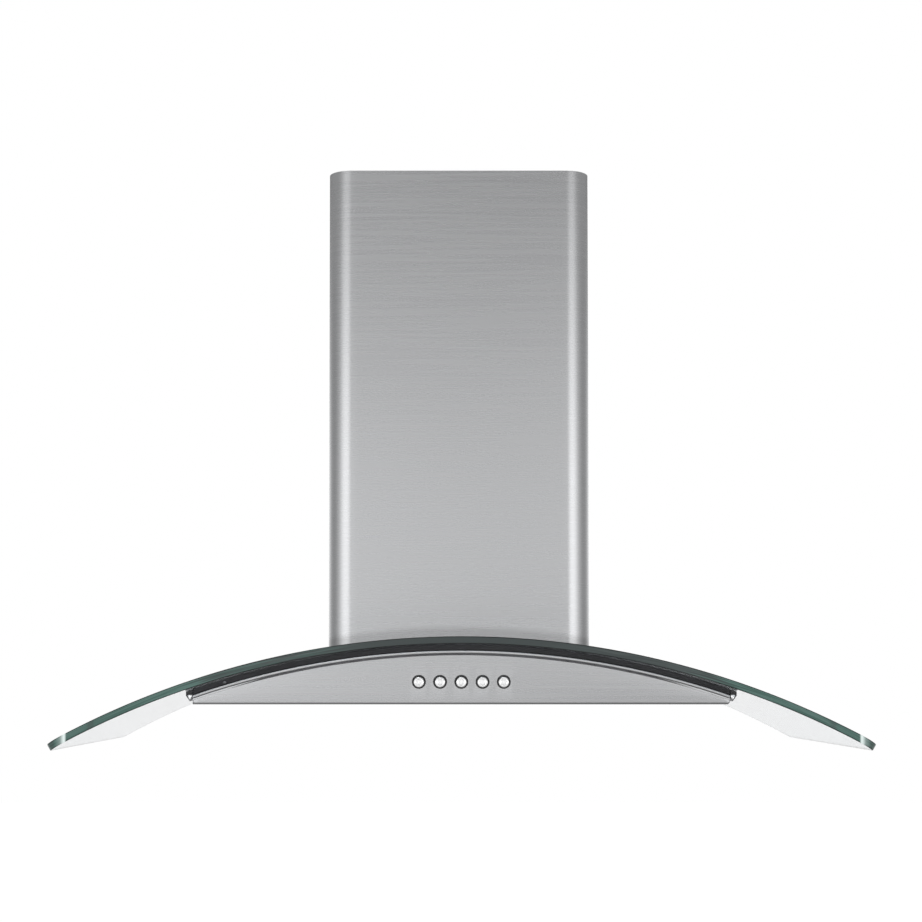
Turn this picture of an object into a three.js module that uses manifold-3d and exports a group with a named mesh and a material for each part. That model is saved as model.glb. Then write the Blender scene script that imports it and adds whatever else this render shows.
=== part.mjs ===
// Wall-hung range hood with a curved glass canopy and a telescopic chimney.
// Millimetres, +Z up, front towards -Y, wall plane at y = 0, origin on the rear wall of the body.
import * as THREE from 'three';
import { mergeVertices } from 'three/addons/utils/BufferGeometryUtils.js';
import Module from 'manifold-3d';

const wasm = await Module();
wasm.setup();

// ---------------------------------------------------------------- driving dimensions

// Glass canopy: one pane bent to a circular arc that runs from left to right.
const glassWidth = 900;
const glassDepth = 500;
const glassThickness = 8;
const glassCornerRadius = 22;
const glassWallGap = 2;
const archRadius = 923;
const archTopZ = 34;

// Body under the glass.
const bodyWidth = 590;
const fasciaSetback = 40;
const fasciaCavity = 12;
const sheet = 1.2;
const sealThickness = 6.6;
const sealFrontWidth = 24;
const sealSideWidth = 15;
const sealRearWidth = 14;

// Front control panel and the trim above it.
const fasciaSheet = 1.5;
const trimHeight = 2.2;
const trimNose = 1;
const grooveHeight = 3.2;
const fasciaEndHeight = 4.35;
const endCapWidth = 7;
const endCapHeight = 5;
const endCapDepth = 29;
const endClipDrop = 7.5;
const endClipDepth = 19;

// Push buttons.
const buttonCount = 5;
const buttonPitch = 23.3;
const buttonHeight = 24.75;
const buttonRadius = 6;
const buttonProud = 3.2;
const buttonTravel = 3;
const buttonEdge = 0.9;
const bezelRadius = 7.7;
const bezelWall = 0.6;
const bezelProud = 1.5;
const stemRadius = 3;
const switchMargin = 11;
const switchDepth = 27;

// Chimney, outer cover and inner slide.
const chimneyWidth = 316;
const chimneyDepth = 270;
const chimneyRise = 570;
const chimneyCorner = 28;
const chimneyFlange = 20;
const slideClearance = 0.5;
const innerSheet = 1;
const innerTopDrop = 2.5;
const innerLength = 470;
const slotCount = 5;
const slotPitch = 13;
const slotHeight = 5;
const slotLength = 60;
const slotTopMargin = 26;

// Motor box and blower.
const boxSideSpace = 26;
const boxFrontSpace = 17;
const boxWallGap = 6;
const boxRise = 276;
const boxLip = 8;
const notchClearance = 3;
const scrollMargin = 8;
const scrollWidth = 110;
const scrollSheet = 1.5;
const scrollTongueRatio = 0.78;
const scrollTongueDegrees = 75;
const scrollNeckInset = 10;
const impellerClearance = 8;
const impellerWidth = 92;
const impellerDisc = 2;
const impellerEndRing = 3;
const bossWall = 9;
const bossLength = 14;
const bladeCount = 20;
const bladeDepth = 13;
const bladeThickness = 1.6;
const bladeDegrees = 30;
const bladeInset = 1.5;
const shaftRadius = 4;
const shaftHeight = 112;
const shaftGrip = 12;
const shaftEnd = 4;
const inletFlange = 12;
const inletSheet = 1.5;
const inletBell = 4;
const motorRatio = 0.56;
const motorGap = 6;
const motorEdge = 4;
const spiderSheet = 2;
const spiderArm = 12;
const spiderFoot = 6;
const spiderReach = 17;

// Duct collar and its flaps.
const ductRadius = 75;
const ductHeight = 50;
const ductSheet = 1.5;
const ductFlange = 11;
const flapHeight = 19;
const flapSheet = 1.2;
const flapRodRadius = 2;
const flapClearance = 1.2;
const seatWidth = 3;
const seatHeight = 2;
const knuckleWall = 1.4;
const knuckleLength = 20;
const knuckleGap = 4;

// Underside.
const baseRecess = 2.5;
const filterHeight = 9;
const filterBorder = 13;
const filterWeb = 4;
const filterSideMargin = 26;
const filterCentreBar = 20;
const filterRearMargin = 42;
const filterClearance = 1;
const filterTabLength = 6;
const filterTabWidth = 24;
const catchWidth = 44;
const catchLength = 18;
const catchThickness = 5;
const catchTravel = 6;
const catchNose = 0.6;
const catchRim = 4;
const catchFloor = 2;
const lampRadius = 33;
const lampSpread = 190;
const lampFrontMargin = 14;
const lampOverlap = 4;
const lensInset = 7;
const lampBezelProud = 1.5;
const lampBezelEdge = 0.8;
const lensRecess = 0.6;
const lampCanHeight = 20;
const lampCanFlange = 3;
const lampCanInset = 2;
const lampCanTaper = 6;
const lampCanWall = 2.5;
const baseScrewRadius = 3.6;
const baseScrewHead = 1.8;

// Wall fixings.
const hangDrop = 70;
const hangerThickness = 3;
const hangerShelf = 7;
const hangerLip = 13;
const hangerBelow = 50;
const hangerAbove = 12;
const hangerScrewDrop = 28;
const hangerScrewRadius = 4.5;
const hangerScrewHead = 2;
const hangerScrewShank = 2.2;
const bracketSheet = 2.5;
const bracketHeight = 25;
const bracketEar = 30;
const bracketTopDrop = 20;
const bracketClearance = 4;

// Electrics on the sides of the motor box.
const mainsDrop = 30;
const mainsDepth = 20;
const mainsHeight = 90;
const mainsLength = 90;
const glandRadius = 8;
const glandNut = 5;
const glandNeck = 13;
const glandBore = 3.5;
const glandFloor = 3;
const capacitorRadius = 10;
const capacitorLength = 60;

// Fits.
const touch = 0.3;
const running = 0.3;
const shaftFit = 0.1;

// ---------------------------------------------------------------- derived places

const archCentreZ = archTopZ - archRadius;
const archZ = (radius, x) => archCentreZ + Math.sqrt(radius * radius - x * x);

const glassUnderRadius = archRadius - glassThickness;
const deckRadius = glassUnderRadius - sealThickness;
const trimUnderRadius = deckRadius - trimHeight;
const fasciaTopRadius = trimUnderRadius - grooveHeight;

const bodyHalf = bodyWidth / 2;
const bodyBottomZ = archZ(fasciaTopRadius, bodyHalf) - fasciaEndHeight;
const fasciaY = -(glassDepth - fasciaSetback);
const bodyFrontY = fasciaY + fasciaCavity;
const buttonZ = bodyBottomZ + buttonHeight;

const chimneyHalf = chimneyWidth / 2;
const chimneyTopZ = archTopZ + chimneyRise;
const innerHalf = chimneyHalf - sheet - slideClearance;
const innerDepth = chimneyDepth - sheet - slideClearance;
const innerRearY = -(sheet + slideClearance);

const boxHalf = innerHalf - innerSheet - boxSideSpace;
const boxFrontY = -(innerDepth - innerSheet - boxFrontSpace);
const boxRearY = -boxWallGap;
const boxTopZ = archTopZ + boxRise;
const boxMidY = (boxFrontY + boxRearY) / 2;

const notchHalf = boxHalf + notchClearance;
const notchFrontY = boxFrontY - notchClearance;

const baseZ = bodyBottomZ + baseRecess;
const baseTopZ = baseZ + sheet;
const lampY = bodyFrontY + lampFrontMargin + lampRadius;
const filterFrontY = lampY + lampRadius + lampFrontMargin;
const filterRearY = -filterRearMargin;
const filterInnerX = filterCentreBar / 2;
const filterOuterX = bodyHalf - filterSideMargin;

// ---------------------------------------------------------------- materials

const finish = (color, roughness, metalness) =>
  new THREE.MeshStandardMaterial({ color, roughness, metalness });
const brushedSteel = finish(0xb4b6b8, 0.38, 1);
const plainSteel = finish(0x9b9ea1, 0.5, 1);
const canopyGlass = finish(0x7fa79b, 0.08, 0);
const blackRubber = finish(0x1d1e20, 0.7, 0);
const blackPlastic = finish(0x242527, 0.5, 0);
const chrome = finish(0xe6e8ea, 0.15, 1);
const aluminium = finish(0xb9bcbf, 0.45, 1);
const whitePlastic = finish(0xe9e9e6, 0.45, 0);
const lampGlass = finish(0xf2f0e6, 0.3, 0);

// ---------------------------------------------------------------- solids

// A closed three.js geometry as a solid, turned the right way out.
function solid(geometry) {
  const bare = new THREE.BufferGeometry();
  bare.setAttribute('position', geometry.getAttribute('position').clone());
  if (geometry.index) bare.setIndex(geometry.index.clone());
  const merged = mergeVertices(bare, 1e-4);
  const points = merged.getAttribute('position').array;
  const index = Uint32Array.from(merged.index.array);
  const kept = [];
  let volume = 0;
  for (let i = 0; i < index.length; i += 3) {
    const corners = [index[i], index[i + 1], index[i + 2]];
    if (new Set(corners).size < 3) continue;
    kept.push(...corners);
    const [a, b, c] = corners.map((n) => new THREE.Vector3().fromArray(points, n * 3));
    volume += a.dot(b.cross(c));
  }
  if (volume < 0) kept.reverse();
  const vertProperties = Float32Array.from(points);
  return new wasm.Manifold(new wasm.Mesh({ numProp: 3, vertProperties, triVerts: Uint32Array.from(kept) }));
}

// A solid as a geometry for a mesh.
function geometryOf(body) {
  const { vertProperties, triVerts } = body.getMesh();
  const geometry = new THREE.BufferGeometry();
  geometry.setAttribute('position', new THREE.BufferAttribute(Float32Array.from(vertProperties), 3));
  geometry.setIndex(new THREE.BufferAttribute(Uint32Array.from(triVerts), 1));
  geometry.computeVertexNormals();
  return geometry;
}

const join = (first, ...others) => others.reduce((sum, next) => sum.add(next), first);
const cut = (first, ...others) => others.reduce((rest, next) => rest.subtract(next), first);

// A box between two limits on each axis.
function block([x0, x1], [y0, y1], [z0, z1]) {
  const geometry = new THREE.BoxGeometry(x1 - x0, y1 - y0, z1 - z0);
  geometry.translate((x0 + x1) / 2, (y0 + y1) / 2, (z0 + z1) / 2);
  return solid(geometry);
}

// An outline in x and y, raised from z0 to z1.
function raised(outline, [z0, z1], curveSegments = 6) {
  const geometry = new THREE.ExtrudeGeometry(outline, { depth: z1 - z0, bevelEnabled: false, curveSegments });
  geometry.translate(0, 0, z0);
  return solid(geometry);
}

// An outline in x and z, drawn out along y from y0 to y1.
function drawnAlongY(outline, [y0, y1], curveSegments = 6) {
  const geometry = new THREE.ExtrudeGeometry(outline, { depth: y1 - y0, bevelEnabled: false, curveSegments });
  geometry.rotateX(Math.PI / 2);
  geometry.translate(0, y1, 0);
  return solid(geometry);
}

// An outline in y and z, drawn out along x from x0 to x1.
function drawnAlongX(outline, [x0, x1], curveSegments = 6) {
  const geometry = new THREE.ExtrudeGeometry(outline, { depth: x1 - x0, bevelEnabled: false, curveSegments });
  geometry.applyMatrix4(new THREE.Matrix4().set(0, 0, 1, x0, 1, 0, 0, 0, 0, 1, 0, 0, 0, 0, 0, 1));
  return solid(geometry);
}

// A profile of [radius, distance] pairs turned about an axis through a centre point.
const axisTurn = {
  x: new THREE.Matrix4().makeRotationZ(-Math.PI / 2),
  y: new THREE.Matrix4(),
  z: new THREE.Matrix4().makeRotationX(Math.PI / 2),
};
function turned(profile, axis, [x, y, z], segments = 24) {
  const points = profile.map(([radius, along]) => new THREE.Vector2(radius, along));
  const geometry = new THREE.LatheGeometry(points, segments);
  geometry.applyMatrix4(axisTurn[axis]);
  geometry.translate(x, y, z);
  return solid(geometry);
}

// A plain rod, and a ring, along an axis between two distances from the centre point.
function rod(radius, [from, to], axis, centre, segments = 24) {
  return turned([[0, from], [radius, from], [radius, to], [0, to]], axis, centre, segments);
}
function ring(inner, outer, [from, to], axis, centre, segments = 24) {
  const profile = [[inner, from], [outer, from], [outer, to], [inner, to], [inner, from]];
  return turned(profile, axis, centre, segments);
}

const outlineOf = (points) => new THREE.Shape(points.map(([a, b]) => new THREE.Vector2(a, b)));

// Points of the canopy's arc at a radius, from one x to another.
const archStep = 20;
function archPoints(radius, fromX, toX) {
  const start = Math.asin(fromX / radius);
  const end = Math.asin(toX / radius);
  const steps = Math.max(2, Math.ceil((Math.abs(end - start) * radius) / archStep));
  return Array.from({ length: steps + 1 }, (_, i) => {
    const angle = start + ((end - start) * i) / steps;
    return [radius * Math.sin(angle), archCentreZ + radius * Math.cos(angle)];
  });
}

// The band between two arcs, and the full shape below one arc.
function archBand(outer, inner, fromX, toX) {
  return outlineOf([...archPoints(outer, fromX, toX), ...archPoints(inner, toX, fromX)]);
}
function archFilled(radius, half, bottomZ) {
  return outlineOf([...archPoints(radius, -half, half), [half, bottomZ], [-half, bottomZ]]);
}

const hood = new THREE.Group();
function add(name, body, material) {
  const mesh = new THREE.Mesh(geometryOf(body), material);
  mesh.name = name;
  hood.add(mesh);
}
const sides = [['left', -1], ['right', 1]];
const span = (side, near, far) => (side < 0 ? [-far, -near] : [near, far]);

// ---------------------------------------------------------------- body under the glass

// Folded box: arched deck, rear wall, side walls and front wall, open underneath.
function bodyShell() {
  const outer = drawnAlongY(archFilled(deckRadius, bodyHalf, bodyBottomZ), [bodyFrontY, 0]);
  const hollow = drawnAlongY(
    archFilled(deckRadius - sheet, bodyHalf - sheet, bodyBottomZ - sheet),
    [bodyFrontY + sheet, -sheet],
  );
  const deckOpening = block(
    [-boxHalf + boxLip, boxHalf - boxLip],
    [boxFrontY + boxLip, boxRearY - boxLip],
    [baseTopZ, archTopZ],
  );
  const switchHalf = switchHalfWidth + touch;
  const switchWindow = block(
    [-switchHalf, switchHalf],
    [bodyFrontY - sheet, bodyFrontY + 2 * sheet],
    [buttonZ - switchMargin - touch, buttonZ + switchMargin + touch],
  );
  return cut(outer, hollow, deckOpening, switchWindow);
}

const switchHalfWidth = ((buttonCount - 1) / 2) * buttonPitch + switchMargin;

// The box is made of two sheets, butted and welded across at the front edge of the deck opening.
const bodySeamY = boxFrontY + boxLip;
const wholeBody = bodyShell();
const bodyWidthCut = [-bodyHalf - sheet, bodyHalf + sheet];
const bodyHeightCut = [bodyBottomZ - sheet, archTopZ];
const frontPart = block(bodyWidthCut, [bodyFrontY - sheet, bodySeamY], bodyHeightCut);
const rearPart = block(bodyWidthCut, [bodySeamY - touch, sheet], bodyHeightCut);
add('body_shell', cut(wholeBody, frontPart), brushedSteel);
add('body_front', cut(wholeBody, rearPart), brushedSteel);

// Black rubber seal between the deck and the glass, open at the rear where the motor box passes.
function glassSeal() {
  const band = archBand(glassUnderRadius - touch, deckRadius + touch, -bodyHalf, bodyHalf);
  const whole = drawnAlongY(band, [fasciaY + trimNose, -glassWallGap]);
  const inside = block(
    [-bodyHalf + sealSideWidth, bodyHalf - sealSideWidth],
    [fasciaY + sealFrontWidth, -glassWallGap - sealRearWidth],
    [bodyBottomZ, archTopZ],
  );
  const passage = block([-notchHalf, notchHalf], [notchFrontY, sheet], [bodyBottomZ, archTopZ]);
  return cut(whole, inside, passage);
}
add('glass_seal', glassSeal(), blackRubber);

// Bent pane with rounded front corners and a notch at the rear for the motor box.
function glassCanopy() {
  const half = glassWidth / 2;
  const tip = (half * glassUnderRadius) / archRadius;
  const band = outlineOf([
    ...archPoints(archRadius, -half, half),
    ...archPoints(glassUnderRadius, tip, -tip),
  ]);
  const bent = drawnAlongY(band, [-glassDepth, -glassWallGap]);
  const corner = glassCornerRadius;
  const plan = new THREE.Shape();
  plan.moveTo(-half, -glassWallGap + 1);
  plan.lineTo(-half, -glassDepth + corner);
  plan.absarc(-half + corner, -glassDepth + corner, corner, Math.PI, 1.5 * Math.PI, false);
  plan.lineTo(half - corner, -glassDepth);
  plan.absarc(half - corner, -glassDepth + corner, corner, -0.5 * Math.PI, 0, false);
  plan.lineTo(half, -glassWallGap + 1);
  plan.closePath();
  const depthOfArch = archRadius - Math.sqrt(archRadius ** 2 - half ** 2);
  const tipZ = archTopZ - depthOfArch - 4 * glassThickness;
  const trimmed = bent.intersect(raised(plan, [tipZ, archTopZ + 1], 8));
  const notch = block([-notchHalf, notchHalf], [notchFrontY, 1], [bodyBottomZ, archTopZ + 1]);
  return cut(trimmed, notch);
}
add('glass_canopy', glassCanopy(), canopyGlass);

// ---------------------------------------------------------------- front panel

const buttonPlaces = Array.from(
  { length: buttonCount },
  (_, i) => [(i - (buttonCount - 1) / 2) * buttonPitch, buttonZ],
);

const buttonSegments = 20;
const fasciaHole = buttonRadius + running + bezelWall + touch;

// Bow-shaped pan: front, bottom and end walls, with a round hole for each button.
function fasciaPanel() {
  const outer = drawnAlongY(
    archFilled(fasciaTopRadius, bodyHalf, bodyBottomZ),
    [fasciaY, bodyFrontY - touch],
  );
  const hollow = drawnAlongY(
    archFilled(deckRadius, bodyHalf - fasciaSheet, bodyBottomZ + fasciaSheet),
    [fasciaY + fasciaSheet, bodyFrontY + sheet],
  );
  const holes = buttonPlaces.map(([x, z]) =>
    rod(fasciaHole, [-fasciaSheet, 2 * fasciaSheet], 'y', [x, fasciaY, z], buttonSegments));
  return cut(outer, hollow, ...holes);
}
add('fascia_panel', fasciaPanel(), brushedSteel);

const trimBand = archBand(deckRadius, trimUnderRadius, -bodyHalf, bodyHalf);
add('fascia_trim', drawnAlongY(trimBand, [fasciaY - trimNose, bodyFrontY - touch]), brushedSteel);

// Black strip that fills the back of the groove between the trim and the panel.
const stripHalf = bodyHalf - fasciaSheet;
const stripBand = archBand(trimUnderRadius - touch, fasciaTopRadius + touch, -stripHalf, stripHalf);
const stripY = [bodyFrontY - 2 * fasciaSheet, bodyFrontY - touch];
add('groove_strip', drawnAlongY(stripBand, stripY), blackRubber);

// Black cap on each end of the trim and seal, with a small bright clip under it.
for (const [name, side] of sides) {
  const near = bodyHalf + touch;
  const [x0, x1] = span(side, near, near + endCapWidth);
  const capTopRadius = glassUnderRadius - touch;
  const capUnderRadius = capTopRadius - endCapHeight;
  const capBand = archBand(capTopRadius, capUnderRadius, x0, x1);
  add(`end_cap_${name}`, drawnAlongY(capBand, [fasciaY, fasciaY + endCapDepth]), blackPlastic);
  const nearTopZ = archZ(capUnderRadius, near + endCapWidth / 6) - touch;
  const farTopZ = archZ(capUnderRadius, near + endCapWidth) - touch;
  const clip = outlineOf([
    [side * near, nearTopZ],
    [side * (near + endCapWidth - touch), farTopZ],
    [side * (near + endCapWidth / 2.5), nearTopZ - endClipDrop],
    [side * near, nearTopZ - endClipDrop / 2],
  ]);
  add(`end_clip_${name}`, drawnAlongY(clip, [fasciaY, fasciaY + endClipDepth]), chrome);
}

// Bezels, push buttons and the switch block that the stems press on.
const bezelBack = fasciaY + fasciaCavity / 2 + fasciaSheet;
const switchFrontY = bezelBack + touch;
const stemEndY = switchFrontY + switchDepth / 2 - buttonTravel;
buttonPlaces.forEach(([x, z], i) => {
  const bore = buttonRadius + running;
  const flangeFront = fasciaY - bezelProud - touch;
  const bezelProfile = [
    [bore, flangeFront],
    [bezelRadius - bezelWall, flangeFront],
    [bezelRadius, flangeFront + bezelWall],
    [bezelRadius, fasciaY - touch],
    [bore + bezelWall, fasciaY - touch],
    [bore + bezelWall, bezelBack],
    [bore, bezelBack],
    [bore, flangeFront],
  ];
  add(`button_bezel_${i + 1}`, turned(bezelProfile, 'y', [x, 0, z], buttonSegments), blackPlastic);
  const face = fasciaY - buttonProud;
  const capBack = bezelBack - buttonTravel - touch;
  const buttonProfile = [
    [0, face],
    [buttonRadius - buttonEdge, face],
    [buttonRadius, face + buttonEdge],
    [buttonRadius, capBack],
    [stemRadius, capBack],
    [stemRadius, stemEndY],
    [0, stemEndY],
  ];
  add(`push_button_${i + 1}`, turned(buttonProfile, 'y', [x, 0, z], buttonSegments), chrome);
});

function switchBlock() {
  const body = block(
    [-switchHalfWidth, switchHalfWidth],
    [switchFrontY, switchFrontY + switchDepth],
    [buttonZ - switchMargin, buttonZ + switchMargin],
  );
  const holeY = [switchFrontY - 1, switchFrontY + switchDepth / 2 + touch];
  const holes = buttonPlaces.map(([x, z]) => rod(stemRadius + running, holeY, 'y', [x, 0, z], 16));
  return cut(body, ...holes);
}
add('switch_block', switchBlock(), whitePlastic);

// ---------------------------------------------------------------- underside

const lampPlaces = sides.map(([name, side]) => [name, [side * lampSpread, lampY]]);
const lampHole = lampRadius - lampOverlap;
const lampSegments = 32;

// Folded sheet that closes the body from below, with openings for the filters and lamps.
function basePlate() {
  const plate = block(
    [-bodyHalf + sheet + touch, bodyHalf - sheet - touch],
    [bodyFrontY + sheet + touch, -sheet - touch],
    [baseZ, baseTopZ],
  );
  const openings = sides.map(([, side]) =>
    block(span(side, filterInnerX, filterOuterX), [filterFrontY, filterRearY], [baseZ - 1, baseTopZ + 1]));
  const holes = lampPlaces.map(([, [x, y]]) =>
    rod(lampHole, [-2 * sheet, sheet], 'z', [x, y, baseTopZ], lampSegments));
  return cut(plate, ...openings, ...holes);
}
add('base_plate', basePlate(), brushedSteel);

// Framed mesh filter with two tabs at the rear and a pocket for its sprung catch.
const catchMidX = (filterInnerX + filterOuterX) / 2;
const filterFrameFrontY = filterFrontY + filterClearance;
const filterFrameRearY = filterRearY - filterClearance;
const catchFrontY = filterFrameFrontY + filterBorder / 2;
const catchZ = baseZ + (filterHeight - catchThickness) / 2;
for (const [name, side] of sides) {
  const [x0, x1] = span(side, filterInnerX + filterClearance, filterOuterX - filterClearance);
  const top = baseZ + filterHeight;
  const frame = block([x0, x1], [filterFrameFrontY, filterFrameRearY], [baseZ, top]);
  const webLow = baseZ + (filterHeight - filterWeb) / 2;
  const fieldX = [x0 + filterBorder, x1 - filterBorder];
  const pocketBackY = catchFrontY + catchLength + catchTravel + running;
  const fieldY = [pocketBackY + filterBorder / 2, filterFrameRearY - filterBorder];
  const lowerField = block(fieldX, fieldY, [baseZ - 1, webLow]);
  const upperField = block(fieldX, fieldY, [webLow + filterWeb, top + 1]);
  const middle = side * catchMidX;
  const catchHalf = catchWidth / 2;
  const noseHalf = catchWidth / 5;
  const pocket = block(
    [middle - catchHalf - running, middle + catchHalf + running],
    [catchFrontY - running, pocketBackY],
    [baseZ - 1, catchZ + catchThickness + running],
  );
  const noseSlot = block(
    [middle - noseHalf - running, middle + noseHalf + running],
    [filterFrameFrontY - 1, catchFrontY],
    [catchZ - running, catchZ + catchThickness + running],
  );
  const tabs = [-1, 1].map((end) => {
    const tabX = middle + end * (filterOuterX - filterInnerX) / 3;
    return block(
      [tabX - filterTabWidth / 2, tabX + filterTabWidth / 2],
      [filterFrameRearY - 1, filterRearY + filterTabLength],
      [baseTopZ + touch, baseTopZ + touch + sheet],
    );
  });
  const open = cut(frame, lowerField, upperField, pocket, noseSlot);
  add(`grease_filter_${name}`, join(open, ...tabs), aluminium);
  const slider = block(
    [middle - catchHalf, middle + catchHalf],
    [catchFrontY, catchFrontY + catchLength],
    [catchZ, catchZ + catchThickness],
  );
  const nose = block(
    [middle - noseHalf, middle + noseHalf],
    [filterFrameFrontY - catchNose, catchFrontY + 1],
    [catchZ, catchZ + catchThickness],
  );
  const fingerDip = block(
    [middle - catchHalf + catchRim, middle + catchHalf - catchRim],
    [catchFrontY + catchRim, catchFrontY + catchLength - catchRim],
    [catchZ - 1, catchZ + catchThickness - catchFloor],
  );
  add(`filter_catch_${name}`, cut(join(slider, nose), fingerDip), blackPlastic);
}

// Lamps: ring from below, lens in the ring, and an open-ended can above the base plate.
const lensRadius = lampRadius - lensInset;
for (const [name, [x, y]] of lampPlaces) {
  const low = baseZ - touch - lampBezelProud;
  const bezelProfile = [
    [lensRadius + touch, low],
    [lampRadius - lampBezelEdge, low],
    [lampRadius, low + lampBezelEdge],
    [lampRadius, baseZ - touch],
    [lampHole - touch, baseZ - touch],
    [lampHole - touch, baseTopZ],
    [lensRadius + touch, baseTopZ],
    [lensRadius + touch, low],
  ];
  add(`lamp_bezel_${name}`, turned(bezelProfile, 'z', [x, y, 0], lampSegments), chrome);
  const lens = rod(lensRadius, [low + lensRecess, baseTopZ], 'z', [x, y, 0], lampSegments);
  add(`lamp_lens_${name}`, lens, lampGlass);
  const canLow = baseTopZ + touch;
  const canTop = canLow + lampCanHeight;
  const canLowRadius = lampHole - lampCanInset;
  const canTopRadius = canLowRadius - lampCanTaper;
  const canProfile = [
    [lampHole + lampCanFlange, canLow],
    [lampHole + lampCanFlange, canLow + sheet],
    [canLowRadius, canLow + sheet],
    [canTopRadius, canTop],
    [0, canTop],
    [0, canTop - lampCanWall],
    [canTopRadius - lampCanWall, canTop - lampCanWall],
    [canLowRadius - lampCanWall, canLow],
    [lampHole + lampCanFlange, canLow],
  ];
  add(`lamp_can_${name}`, turned(canProfile, 'z', [x, y, 0]), plainSteel);
}

// Round-headed screws that hold the base plate to the body.
const baseScrewX = bodyHalf - filterSideMargin / 2;
const baseScrewY = [bodyFrontY + filterRearMargin / 2, -filterRearMargin / 2];
for (const [name, side] of sides) {
  for (const [end, y] of [['front', baseScrewY[0]], ['rear', baseScrewY[1]]]) {
    const top = baseZ - touch;
    const profile = [
      [0, top - baseScrewHead],
      [baseScrewRadius / 2, top - baseScrewHead],
      [baseScrewRadius, top - baseScrewHead / 2],
      [baseScrewRadius, top],
      [0, top],
    ];
    add(`base_screw_${name}_${end}`, turned(profile, 'z', [side * baseScrewX, y, 0], 16), chrome);
  }
}

// ---------------------------------------------------------------- chimney

// U-shaped sheet in plan: two sides, a front with round corners, and flanges turned in at the rear.
function channel(half, depth, rearY, corner, wall, flange) {
  const inner = corner - wall;
  const shape = new THREE.Shape();
  shape.moveTo(half - flange, rearY);
  shape.lineTo(half, rearY);
  shape.lineTo(half, -depth + corner);
  shape.absarc(half - corner, -depth + corner, corner, 0, -Math.PI / 2, true);
  shape.lineTo(-half + corner, -depth);
  shape.absarc(-half + corner, -depth + corner, corner, -Math.PI / 2, -Math.PI, true);
  shape.lineTo(-half, rearY);
  shape.lineTo(-half + flange, rearY);
  shape.lineTo(-half + flange, rearY - wall);
  shape.lineTo(-half + wall, rearY - wall);
  shape.lineTo(-half + wall, -depth + corner);
  shape.absarc(-half + corner, -depth + corner, inner, -Math.PI, -Math.PI / 2, false);
  shape.lineTo(half - corner, -depth + wall);
  shape.absarc(half - corner, -depth + corner, inner, -Math.PI / 2, 0, false);
  shape.lineTo(half - wall, rearY - wall);
  shape.lineTo(half - flange, rearY - wall);
  shape.closePath();
  return shape;
}

// The cover's lower edge is cut to the curve of the glass it stands on.
function outerChimney() {
  const lowest = archZ(archRadius, chimneyHalf) - glassThickness / 2;
  const tube = raised(
    channel(chimneyHalf, chimneyDepth, 0, chimneyCorner, sheet, chimneyFlange),
    [lowest, chimneyTopZ],
    8,
  );
  const glassSide = drawnAlongY(
    archFilled(archRadius + touch, chimneyHalf + chimneyCorner, lowest - glassThickness),
    [-chimneyDepth - 1, 1],
  );
  return cut(tube, glassSide);
}
add('outer_chimney', outerChimney(), brushedSteel);

function innerChimney() {
  const top = chimneyTopZ - innerTopDrop;
  const corner = chimneyCorner - sheet - slideClearance;
  const plan = channel(innerHalf, innerDepth, innerRearY, corner, innerSheet, chimneyFlange);
  const tube = raised(plan, [top - innerLength, top], 8);
  const slots = Array.from({ length: slotCount }, (_, i) => {
    const slotTop = top - slotTopMargin - i * slotPitch;
    const midY = -chimneyDepth / 2;
    return block(
      [-innerHalf - 1, innerHalf + 1],
      [midY - slotLength / 2, midY + slotLength / 2],
      [slotTop - slotHeight, slotTop],
    );
  });
  return cut(tube, ...slots);
}
add('inner_chimney', innerChimney(), brushedSteel);

// Upper bracket: a strip on the wall with an ear folded forward at each end.
function chimneyBracket() {
  const half = chimneyHalf - chimneyFlange - sheet - bracketClearance;
  const plan = outlineOf([
    [-half, 0],
    [half, 0],
    [half, -bracketEar],
    [half - bracketSheet, -bracketEar],
    [half - bracketSheet, -bracketSheet],
    [-half + bracketSheet, -bracketSheet],
    [-half + bracketSheet, -bracketEar],
    [-half, -bracketEar],
  ]);
  const top = chimneyTopZ - bracketTopDrop;
  return raised(plan, [top - bracketHeight, top]);
}
add('chimney_bracket', chimneyBracket(), plainSteel);

// ---------------------------------------------------------------- motor box and wall hanger

const hangZ = boxTopZ - hangDrop;
const hangerHalf = boxHalf - boxSideSpace;

// Sheet box, open underneath, that stands on the deck and hooks over the wall hanger.
function motorBox() {
  const outer = block([-boxHalf, boxHalf], [boxFrontY, boxRearY], [bodyBottomZ, boxTopZ]);
  const hollow = block(
    [-boxHalf + sheet, boxHalf - sheet],
    [boxFrontY + sheet, boxRearY - sheet],
    [bodyBottomZ - 1, boxTopZ - sheet],
  );
  const belowDeck = drawnAlongY(
    archFilled(deckRadius + touch, boxHalf + boxSideSpace, bodyBottomZ - glassThickness),
    [boxFrontY - 1, 0],
  );
  const holeRadius = ductRadius - ductSheet - seatWidth;
  const ductHole = rod(holeRadius, [-2 * sheet, sheet], 'z', [0, boxMidY, boxTopZ], 32);
  const hangSlot = block(
    [-hangerHalf - touch, hangerHalf + touch],
    [boxRearY - 2 * sheet, boxRearY + sheet],
    [hangZ - touch - sheet, hangZ + hangerThickness + touch],
  );
  return cut(outer, hollow, belowDeck, ductHole, hangSlot);
}
add('motor_box', motorBox(), plainSteel);

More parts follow.
